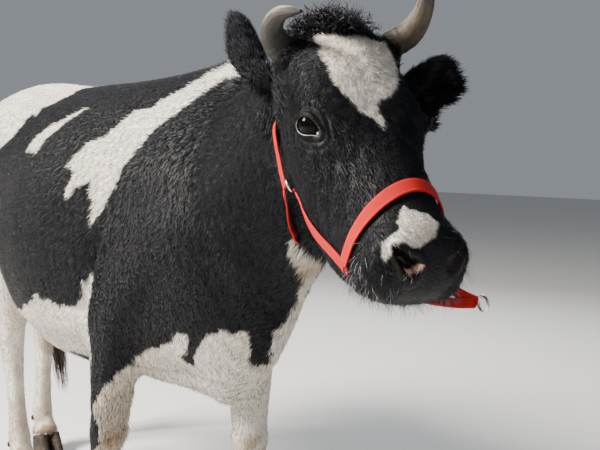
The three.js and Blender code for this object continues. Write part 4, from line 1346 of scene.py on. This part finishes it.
webbing, t = finish("webbing", Specular_IOR_Level=0.15)
across, along = t.value("across"), t.value("metres")
rows = t.math("SINE", t.times(along, 2 * math.pi / THREAD))
ribs = t.math("SINE", t.times(across, 2 * math.pi * 5.5))
weave = t.times(rows, ribs)
soiled = t.noise(48.0, 5.0)
colour = t.mix(t.ramp(weave, -1.0, 1.0), (0.27, 0.005, 0.006, 1), (0.50, 0.011, 0.011, 1))
colour = t.mix(t.ramp(soiled, 0.52, 0.75, 0.35), colour, (0.22, 0.014, 0.014, 1))
dashes = t.math("GREATER_THAN", t.math("SINE", t.times(along, 2 * math.pi / STITCH)), -0.35)
seam = t.times(t.math("COMPARE", t.math("ABSOLUTE", across), 0.74, 0.05), dashes)
height = t.math("ADD", weave, t.times(seam, 1.6))
colour = t.mix(t.times(seam, 0.5), colour, (0.80, 0.07, 0.06, 1))
t.dress(colour, t.math("MULTIPLY_ADD", soiled, 0.25, 0.58), (height, 0.55, 0.0007))


def eased_line(values, rounds, closed):
    for _ in range(rounds):
        before, after = np.roll(values, 1, axis=0), np.roll(values, -1, axis=0)
        if not closed:
            before[0], after[-1] = values[0], values[-1]
        values = (before + 2 * values + after) / 4
    return values


def webbing_strap(name, nodes, middle, out, width, closed=False, clear=0.0030, laid=True):
    """Webbing along a line of points, flat to the skin where it is laid on it. It replaces the named nodes.
    Returns the line down its middle."""
    count = len(middle)
    if closed:
        ahead = unit(np.roll(middle, -1, axis=0) - np.roll(middle, 1, axis=0))
    else:
        ahead = unit(np.gradient(middle, axis=0))
    out = flattened(out, ahead)
    across = np.cross(ahead, out)
    edges = []
    for side in (-1, 0, 1):
        edge = middle + across * side * width / 2
        if laid:
            heights = []
            for p, o in zip(edge, out):
                hit = closed_eyes.ray_cast(Vector(p + o * 0.04), Vector(-o), 0.09)[0]
                heights.append(np.dot(np.array(hit) - p, o) if hit else 0.0)
            heights = eased_line(np.array(heights)[:, None], 6, closed)
            edge = edge + out * (heights + clear + THICK / 2)
        edges.append(edge)
    centre = (edges[0] + edges[2]) / 2
    centre = centre + out * np.maximum(np.sum((edges[1] - centre) * out, axis=1, keepdims=True), 0)
    reach = np.append(0, np.cumsum(np.linalg.norm(np.diff(centre, axis=0), axis=1)))
    steps = count if closed else count + 1

    def row(t):
        k = np.round(t * steps).astype(int)
        return k % count if closed else np.clip(k - 1, 0, count - 1)

    def section(turned):
        angle = turned * 2 * np.pi
        cos, sin = np.cos(angle), np.sin(angle)
        flat = np.sign(cos) * np.abs(cos) ** 0.35
        return flat, np.sign(sin) * np.minimum(np.abs(sin) * 2.2, 1.0) * (1 - 0.15 * np.abs(flat) ** 6)

    def place(t, turned):
        k = row(t)
        flat, thick = section(turned)
        if not closed:
            cap = (t < 0.5 / steps) | (t > 1 - 0.5 / steps)
            flat, thick = np.where(cap, 0, flat), np.where(cap, 0, thick)
        sidewise = np.where(flat[:, None] < 0, (centre - edges[0])[k], (edges[2] - centre)[k])
        return centre[k] + sidewise * flat[:, None] + out[k] * thick[:, None] * THICK / 2

    values = {"metres": lambda t, turned: reach[row(t)], "across": lambda t, turned: section(turned)[0]}
    mesh = wrap(place, steps, 28, name, values)
    piece = finish_piece(piece_of(mesh, name), webbing)
    if nodes:
        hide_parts(*nodes)
    if laid:
        strap_lines.append((centre, width / 2))
    return centre


def strap_on_skin(name, nodes, guides, count, width, closed=False, **more):
    """Webbing on the skin, along guides such as NOSEBAND's."""
    rows = through(guides, np.arange(count) / (count if closed else count - 1))
    spots = [on_skin(*row) for row in rows]
    middle = eased_line(np.array([p for p, _ in spots]), 5, closed)
    return webbing_strap(name, nodes, middle, np.array([w for _, w in spots]), width, closed, **more)


# The noseband sinks into the hair under the jaw.
under_jaw = step(116, 134, np.abs(through(NOSEBAND, np.arange(220) / 220)[:, 2]))
clear = (0.0034 - 0.0085 * under_jaw)[:, None]
noseband = strap_on_skin("noseband_webbing", ["halter_noseband"], NOSEBAND, 220, 0.022, True, clear=clear)
strap_lines[-1] = (noseband[under_jaw < 0.3], 0.011)
# The crown strap runs straight up behind the jaw, on edge, and under the hair below the ears.
BEHIND_JAW = [
    (185, -86, -195), (155, -86, -190), (127, -85, -184), (106, -87, -173), (85, -88, -161),
    (70, -84, -154), (50, -72, -146),
]
over = [on_skin(*row) for row in CROWN]
places = np.array([to_head(p) for p, _ in over])
facing = np.array([w for _, w in over])
sunk = np.array([16, 10, 4, -3, -5, -3, 4, 10, 16])  # mm under the skin, from ear to ear
places = places - (facing @ HEAD) * sunk[:, None]
flat = HEAD @ np.array((-0.1, -0.97, 0.0))
flat_left = HEAD @ np.array((-0.1, 0.97, 0.0))
left_jaw = [side_of(np.array(p, float), -1) for p in BEHIND_JAW[::-1]]
line = np.vstack((BEHIND_JAW, places, left_jaw))
facing = np.vstack(([flat] * 7, facing, [flat_left] * 7))
middle = on_head(through(line, np.linspace(0, 1, 260)))
outward = unit(through(facing, np.linspace(0, 1, 260)))
webbing_strap("crown_webbing", ["halter_crown"], middle, outward, 0.014, laid=False)
for first, last in ((0, 58), (122, 138), (202, 260)):
    strap_lines.append((middle[first:last], 0.005))
for side, s in SIDES:
    cheek = [(404, -100, 109), (366, -105, 115), (314, -110, 123), (258, -115, 129), (192, -120, 137)]
    cheek = [(down, out, s * degrees) for down, out, degrees in cheek]
    strap_on_skin(f"cheek_webbing_{side}", [f"halter_cheek_{side}"], cheek, 90, 0.0145, clear=0.0026)

THROAT_STRAP = [
    (186, -86, -200), (162, -68, -240), (148, -48, -281), (152, -29, -328), (158, -18, -345),
    (161, -9, -362), (152, 3, -374), (146, 14, -352), (150, 30, -316), (150, 46, -284), (156, 58, -256),
    (170, 70, -228), (186, 86, -200),
]
middle = through(np.array(THROAT_STRAP, float), np.linspace(0, 1, 120))
outward = unit(middle * (0, 1, 0) + (middle - (0, 0, -150)) * (0, 0, 1) + (-30, 0, 0))
webbing_strap("throat_webbing", [], on_head(middle), outward @ HEAD.T, 0.012, laid=False)

# For each side the strap's line, and the degrees that it faces at its first and last points.
CHIN = {
    "right": (
        [(390, 20, -194), (416, 46, -186), (442, 70, -168), (465, 92, -146), (481, 108, -125)], (180, 120),
    ),
    "left": (
        [(404, 76, -158), (424, 87, -151), (446, 98, -143), (466, 104, -132), (482, 110, -122)], (130, 118),
    ),
}
for side, (line, (first, last)) in CHIN.items():
    middle = on_head(through(line, np.linspace(0, 1, 50)))
    angle = np.radians(np.linspace(first, last, 50))
    out = np.stack((0 * angle, np.sin(angle), np.cos(angle)), axis=1) @ HEAD.T
    webbing_strap(f"chin_webbing_{side}", [f"halter_chin_{side}"], middle, out, 0.016, laid=False)

steel, t = finish("steel", Metallic=1.0)
colour = t.mix(t.ramp(t.noise(120.0), 0.45, 0.7), (0.62, 0.61, 0.58, 1), (0.40, 0.36, 0.31, 1))
t.dress(colour, t.math("MULTIPLY_ADD", t.noise(900.0, 4.0), 0.35, 0.15))


def steel_ring(name, node, place, axis, radius, wire=0.0024):
    bm = bmesh.new()
    bmesh.ops.create_circle(bm, segments=14, radius=wire, cap_ends=False)
    upright = Matrix.Translation((radius, 0, 0)) @ Matrix.Rotation(math.pi / 2, 4, "X")
    bmesh.ops.transform(bm, matrix=upright, verts=bm.verts)
    around = {"axis": (0, 0, 1), "cent": (0, 0, 0), "angle": 2 * math.pi, "steps": 48}
    bmesh.ops.spin(bm, geom=bm.verts[:] + bm.edges[:], use_merge=True, **around)
    bmesh.ops.remove_doubles(bm, verts=bm.verts, dist=1e-6)
    bmesh.ops.recalc_face_normals(bm, faces=bm.faces)
    facing = Vector(axis).to_track_quat("Z", "X").to_matrix().to_4x4()
    bmesh.ops.transform(bm, matrix=Matrix.Translation(place) @ facing, verts=bm.verts)
    ring = finish_piece(piece_of(made(bm, name), name), steel)
    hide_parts(node)


for side, s in SIDES:
    spot, way = on_skin(186, -120, s * 130)
    steel_ring(f"side_ring_{side}", f"halter_ring_{side}", spot + way * 0.0085, way, 0.0095)
steel_ring("lead_ring", "halter_lead_ring", on_head((489, 113, -117)), HEAD[:, 1], 0.011)

# ---------------------------------------------------------------- long hair

grow_short_coat()


def curls(name, axis, root, first, second, long, half, curl, turns, joints=3, look=hair_look, **marks):
    """Longer locks that leave their roots one way, bend to another, and curl round their own line as they go.
    Their length, half width and curl are in mm: a value, one for each lock, or (least, most) for a draw.
    marks are hair_values' white, stain and tint."""
    n = len(root)
    long, half, curl = (rng.uniform(*v, n) if isinstance(v, tuple) else v for v in (long, half, curl))
    long, half, curl = (np.broadcast_to(v, n)[:, None] / 1000 for v in (long, half, curl))
    values = hair_values(n, **marks)
    side = unit(np.cross(first, rng.normal(size=(n, 3))))
    other = np.cross(unit(first), side)
    phase, rate = rng.uniform(0, 2 * np.pi, n), turns * rng.uniform(0.7, 1.3, n)
    paths = []
    for f in np.linspace(0, 1, joints + 1):
        angle = phase + 2 * np.pi * rate * f
        swing = (np.cos(angle) - np.cos(phase))[:, None] * side
        swing = swing + (np.sin(angle) - np.sin(phase))[:, None] * other
        line = root + first * long * f * (1 - 0.5 * f) + second * long * 0.5 * f * f
        paths.append(line + swing * curl * f**0.5)
    paths, halves = np.stack(paths, axis=1), half * tapering(joints)
    piece = locks(name, root, paths, halves, side, 0.9, values, unrolled(root, axis))
    return finish_piece(piece, look)


def tapering(joints):
    """How wide a lock is at each joint but its tip, as a share of its width at the root."""
    return np.sqrt(1 - (np.arange(joints) / joints) ** 2)[None]


def hair_values(n, white=0, stain=0, tint=None):
    tint = rng.random(n) if tint is None else tint
    return {"white": np.broadcast_to(white, n) * 1.0, "stain": np.broadcast_to(stain, n) * 1.0, "tint": tint}


def scattered(count, chance):
    """Roots on the skin, picked by area and by a chance for each point of it; their normals; a reader."""
    odds = area * chance[triangles].mean(axis=1)
    here = places_on(np.searchsorted(np.cumsum(odds) / odds.sum(), rng.random(count)))
    return here(skin_points), unit(here(skin_normals)), here


# the curls on the poll
n = 1500
on_poll = bump(skin_local, (-12, -2, -14), 62) * (skin_out > -52)
on_poll = on_poll * (np.abs(skin_left + 4) < 64) * (skin_down < 33)
root = scattered(n, on_poll)[0]
local = to_head(root)
long = rng.uniform(22, 50, n) * (1.05 - 0.35 * np.abs((local[:, 1] + 4) / 68) ** 2)
long = long * step(42, 8, local[:, 0]) ** 0.5
outward = unit(unit(local - (0, 2, -60)) * (0.8, 1, 1.2)) @ HEAD.T
second = unit(outward * 0.45 + HEAD @ (0.25, 0, -0.25) + rng.normal(0, 0.6, (n, 3)))
first = unit(outward + rng.normal(0, 0.36, (n, 3)))
tint = np.clip(rng.random(n) + 0.25 * bump(local, (-20, -30, 0), 28), 0, 1)
poll_look, t = finish("poll_hair", Roughness=0.42, Specular_IOR_Level=0.30, Specular_Tint=SKY_SHINE)
fox = t.times(t.ramp(t.value("tip"), 0.35, 1.0), t.ramp(t.value("tint"), 0.82, 1.1))
dark = t.mix(t.value("tint"), (0.0030, 0.0031, 0.0042, 1), (0.0100, 0.0095, 0.0120, 1))
t.dress(t.mix(fox, dark, (0.046, 0.021, 0.016, 1)))
ways = (root, first, second)
poll = curls("poll_curls", "head", *ways, long, (0.45, 1.05), (2.5, 7.0), 1.35, 7, poll_look, tint=tint)
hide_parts("poll_tuft")

# fringes of the ears: 560 locks along each edge, then 520 out of the hollow
for name in EARS:
    along_ear, hollow, across_ear = ear_axes(name)[1:]
    roots, ways, seconds, longs = [], [], [], []
    for edge in (-1, 1):
        n = 560
        at = rng.uniform(0.06, 0.99, n)
        bend = edge * (1 - np.abs(rng.normal(0, 0.05, n)))
        roots.append(to_frame(ear_point(name, at, bend, rng.uniform(-2.5, 2.5, n))))
        way = along_ear * rng.uniform(0.5, 1.1, n)[:, None]
        way = way + across_ear * (edge * 1.3 * rng.uniform(0.3, 0.8, n) * (1.1 - at))[:, None]
        ways.append(way + hollow * rng.uniform(-0.1, 0.5, n)[:, None])
        seconds.append(along_ear + hollow * 0.3 + rng.normal(0, 0.25, (n, 3)))
        longs.append(rng.uniform(9, 20, n) * (0.75 + 0.5 * at))
    n = 520
    at, bend = rng.uniform(0.16, 0.62, n), rng.uniform(-0.9, 0.9, n)
    roots.append(to_frame(ear_point(name, at, bend, np.full(n, -3.0))))
    ways.append((along_ear + hollow) * 0.7 - across_ear * bend[:, None] * 0.6 + rng.normal(0, 0.25, (n, 3)))
    seconds.append(along_ear + rng.normal(0, 0.3, (n, 3)))
    longs.append(rng.uniform(16, 32, n))
    root, first, second = np.concatenate(roots), unit(np.concatenate(ways)), unit(np.concatenate(seconds))
    white = (np.linalg.norm(to_head(root) - (66, 222, -92), axis=1) < 19) & (rng.random(len(root)) < 0.7)
    white, long = white * (name == "ear_left"), np.concatenate(longs)
    curls(f"fringe_{name}", name, root, first, second, long, (0.30, 0.6), 1.2, 0.5, white=white)

# the switch of the tail: its middle line and its radius along it, in mm
SWITCH = [(-952, 136, 668), (-952, 140, 640), (-951, 162, 520), (-950, 182, 370), (-948, 204, 188)]
SWITCH_GIRTH = [(14,), (21,), (35,), (38,), (24,)]
n, joints = 620, 7
begin = rng.uniform(0, 0.28, n)
finish_at = np.minimum(begin + rng.uniform(0.55, 0.80, n), 1.0)
angle, spread_out = rng.uniform(0, 2 * np.pi, n), np.sqrt(rng.random(n))
phase = rng.uniform(0, 6.28, n)
paths = []
for f in np.linspace(0, 1, joints + 1):
    at = begin + (finish_at - begin) * f
    r = through(SWITCH_GIRTH, at)[:, 0] * (0.5 + 0.5 * f) * spread_out * 0.92
    wave = 6.5 * np.sin(phase + f * 8) * f
    offset = np.stack((np.cos(angle) * r + wave, np.sin(angle) * r + wave * np.cos(phase), 0 * r), axis=1)
    paths.append(to_frame(through(SWITCH, at) + offset))
paths = np.stack(paths, axis=1)
root = paths[:, 0]
taper = rng.uniform(0.7, 1.6, n)[:, None] / 1000 * tapering(joints)
around = np.stack((np.cos(angle), np.sin(angle), 0 * angle), axis=1)
values = hair_values(n, rng.random(n) < 0.22, 0.92)
switch_hair = locks("switch_locks", root, paths, taper, around, 0.8, values, unrolled(root, "tail"))
finish_piece(switch_hair, hair_look)
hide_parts("tail_switch")

# whiskers of the muzzle and chin
muzzle = step(386, 430, skin_down) * column(weights, "head") * step(-15, -60, skin_out)
muzzle = muzzle * (1 - 0.97 * marks["bare"]) * (0.35 + 0.65 * step(-80, -120, skin_out))
n = 1100
root, normal = scattered(n, muzzle * (1 - marks["white"]))[:2]
down_face = HEAD @ (0.75, 0, -0.35)
first = unit(normal * 0.8 + down_face * 0.9 + rng.normal(0, 0.3, (n, 3)))
second = unit(down_face + rng.normal(0, 0.6, (n, 3)))
whisker_look, t = finish("whiskers", Roughness=0.35, Specular_IOR_Level=0.5)
t.dress(t.mix(t.ramp(t.value("tint"), 0.6, 1.0), (0.014, 0.014, 0.018, 1), (0.36, 0.36, 0.38, 1)))
curls("whiskers", "head", root, first, second, (9, 30), (0.12, 0.25), (0.3, 1.6), 0.45, 4, whisker_look)

# a few white hairs that hang from the rim of the right nostril
n = 46
rim = marks["pink"] * (skin_left > -34) * (skin_down > 400) * (skin_out > -75)
root, normal = scattered(n, rim + bump(skin_local, (476, -28, -58), 5))[:2]
first = unit(normal * 0.5 + HEAD @ (0.6, -0.5, -0.5) + rng.normal(0, 0.35, (n, 3)))
curls("nostril_wisps", "head", root, first, first, (5, 12), (0.16, 0.30), 0.8, 0.4, white=1)

# hair that hangs over the top of each hoof
for name in LEGS:
    n = 420
    spot = to_frame((*CORONETS[name], 84.0))
    near = (np.linalg.norm(skin_points - spot, axis=1) < 0.075) & (skin_z < 104)
    root, normal, here = scattered(n, near & (skin_normals[:, 2] > -0.75))
    first = unit(normal * (0.6, 0.6, 0) + (0.1, 0, -0.9) + rng.normal(0, 0.12, (n, 3)))
    second = unit(first + (0, 0, -0.6) + rng.normal(0, 0.1, (n, 3)))
    white, stain = here(marks["white"]) > 0.5, here(marks["stain"])
    piece_name = f"coronet_hair_{name}"
    curls(piece_name, name, root, first, second, (10, 20), (0.5, 0.9), 0.8, 0.4, white=white, stain=stain)

# black hair that grows up the horns' feet, at the ears' feet and behind the eyes down the jaw
for side, s in SIDES:
    foot, next_place = np.array(HORNS[side][:2], float)
    round_horn = np.linalg.norm(skin_local - (foot + 0.35 * (next_place - foot)), axis=1)
    collar = step(50, 38, round_horn) * (skin_out > -95)
    at_ear = bump(skin_local, EAR_SHAPE[f"ear_{side}"][0], 36)
    on_jaw = bump(skin_local, (40, s * 92, -132), 40)
    for name, chance, reach, way, stand in (
        ("horn_collar", collar, (16, 30), HEAD @ unit(next_place - foot), 0.25),
        ("ear_foot_hair", at_ear, (16, 34), ear_axes(f"ear_{side}")[1], 0.35),
        ("jaw_hair", on_jaw, (14, 28), HEAD @ (0.7, s * 0.25, -0.66), 0.22),
    ):
        n = 900
        root, normal = scattered(n, chance * (marks["white"] < 0.3))[:2]
        lying = flattened(way, normal)
        first = unit(lying + normal * stand + rng.normal(0, 0.18, (n, 3)))
        second = unit(lying + 0.4 * way + rng.normal(0, 0.22, (n, 3)))
        curls(f"{name}_{side}", "head", root, first, second, reach, (0.4, 0.8), 1.5, 0.5)

# fluff: the knee, the crest of the neck, the throat and under the jaw, and the underside
head_part, neck_part, trunk_part = (column(weights, name) for name in ("head", "neck", "trunk"))
crest = neck_part * step(0.45, 0.85, skin_normals[:, 2])
crest = crest + 0.5 * trunk_part * step(0.8, 0.95, skin_normals[:, 2]) * step(250, 420, skin_x)
under_jaw = 1.2 * step(-200, -212, skin_out) * (skin_down > 60) * (skin_down < 360)
throat = bump(skin_cow, (830, -90, 955), 100) + under_jaw * head_part
brisket = 0.5 * step(-0.2, -0.7, skin_normals[:, 2]) * (skin_x > 350) * (trunk_part + neck_part)
underside = 0.5 * step(610, 575, skin_z) * trunk_part + brisket
knee = bump(skin_cow, (178, -185, 500), 78) * (marks["white"] > 0.6) * column(weights, "foreleg_right")
for name, n, chance, reach, axis in (
    ("knee", 1500, knee, (14, 30), "foreleg_right"),
    ("crest", 2600, crest, (16, 30), "neck"),
    ("throat", 1500, throat, (14, 26), "neck"),
    ("underside", 2400, underside, (14, 26), "trunk"),
):
    root, normal, here = scattered(n, chance)
    keep = ~covered(root, 0.004)
    ahead = flattened(here(lie), normal)
    first = unit(ahead + normal * rng.uniform(0.15, 0.5, n)[:, None] + rng.normal(0, 0.16, (n, 3)))
    second = unit(ahead + rng.normal(0, 0.2, (n, 3)) + (0, 0, -0.25))
    white = here(hair_marks["white"]) + rng.normal(0, 0.1, n) > 0.5
    tint = rng.random(keep.sum())
    long, wide = rng.uniform(*reach, n), rng.uniform(0.5, 0.95, n)
    root, first, second, long, wide, white, stain = (v[keep] for v in (
        root, first, second, long, wide, white, here(marks["stain"])))
    more = {"white": white, "stain": stain, "tint": tint}
    curls(f"{name}_fluff", axis, root, first, second, long, wide, 1.5, 0.6, **more)

# ---------------------------------------------------------------- camera, floor and light

CAMERA = to_frame((1885.0, -1044.0, 1114.0))
YAW, PITCH, ROLL = np.radians((138.4, -3.8, 2.0))
view = np.array((math.cos(YAW) * math.cos(PITCH), math.sin(YAW) * math.cos(PITCH), math.sin(PITCH)))
level = np.array((math.sin(YAW), -math.cos(YAW), 0.0))
upward = np.cross(level, view)
right = level * math.cos(ROLL) + upward * math.sin(ROLL)
above = upward * math.cos(ROLL) - level * math.sin(ROLL)
camera = bpy.data.objects.new("camera", bpy.data.cameras.new("camera"))
bpy.context.scene.collection.objects.link(camera)
aim = Matrix(np.stack((right, above, -view), axis=1).tolist()).to_4x4()
camera.matrix_world = Matrix.Translation(CAMERA) @ aim
camera.data.sensor_width, camera.data.lens = 36, 43.92
camera.data.clip_start, camera.data.clip_end = 0.05, 200
bpy.context.scene.camera = camera

bm = bmesh.new()
bmesh.ops.create_grid(bm, x_segments=1, y_segments=1, size=60)
floor = piece_of(made(bm, "floor"), "floor")
floor.data.materials.append(finish("pale_floor", Base_Color=(0.60, 0.595, 0.58, 1), Roughness=0.9)[0])


def softbox(name, place, aim, size, watts, colour):
    light = bpy.data.lights.new(name, "AREA")
    light.shape, light.size, light.size_y = "RECTANGLE", *size
    light.energy, light.color = watts, colour
    obj = bpy.data.objects.new(name, light)
    bpy.context.scene.collection.objects.link(obj)
    obj.location = place
    obj.rotation_euler = (Vector(aim) - Vector(place)).to_track_quat("-Z", "Y").to_euler()


softbox("key", (-1.7, -4.3, 4.4), (0.1, 0.0, 0.9), (1.8, 1.8), 1950, (1.0, 0.945, 0.86))
softbox("fill", (4.2, -0.6, 2.2), (0.4, 0.0, 1.0), (3.0, 3.0), 20, (0.86, 0.92, 1.0))
softbox("back", (-2.5, 3.5, 3.6), (0.0, 0.0, 1.0), (3.0, 2.0), 200, (0.95, 0.97, 1.0))
world = bpy.data.worlds.new("studio")
world.use_nodes = True
background = world.node_tree.nodes["Background"]
background.inputs["Color"].default_value = (0.80, 0.86, 0.93, 1)
background.inputs["Strength"].default_value = 0.32
bpy.context.scene.world = world
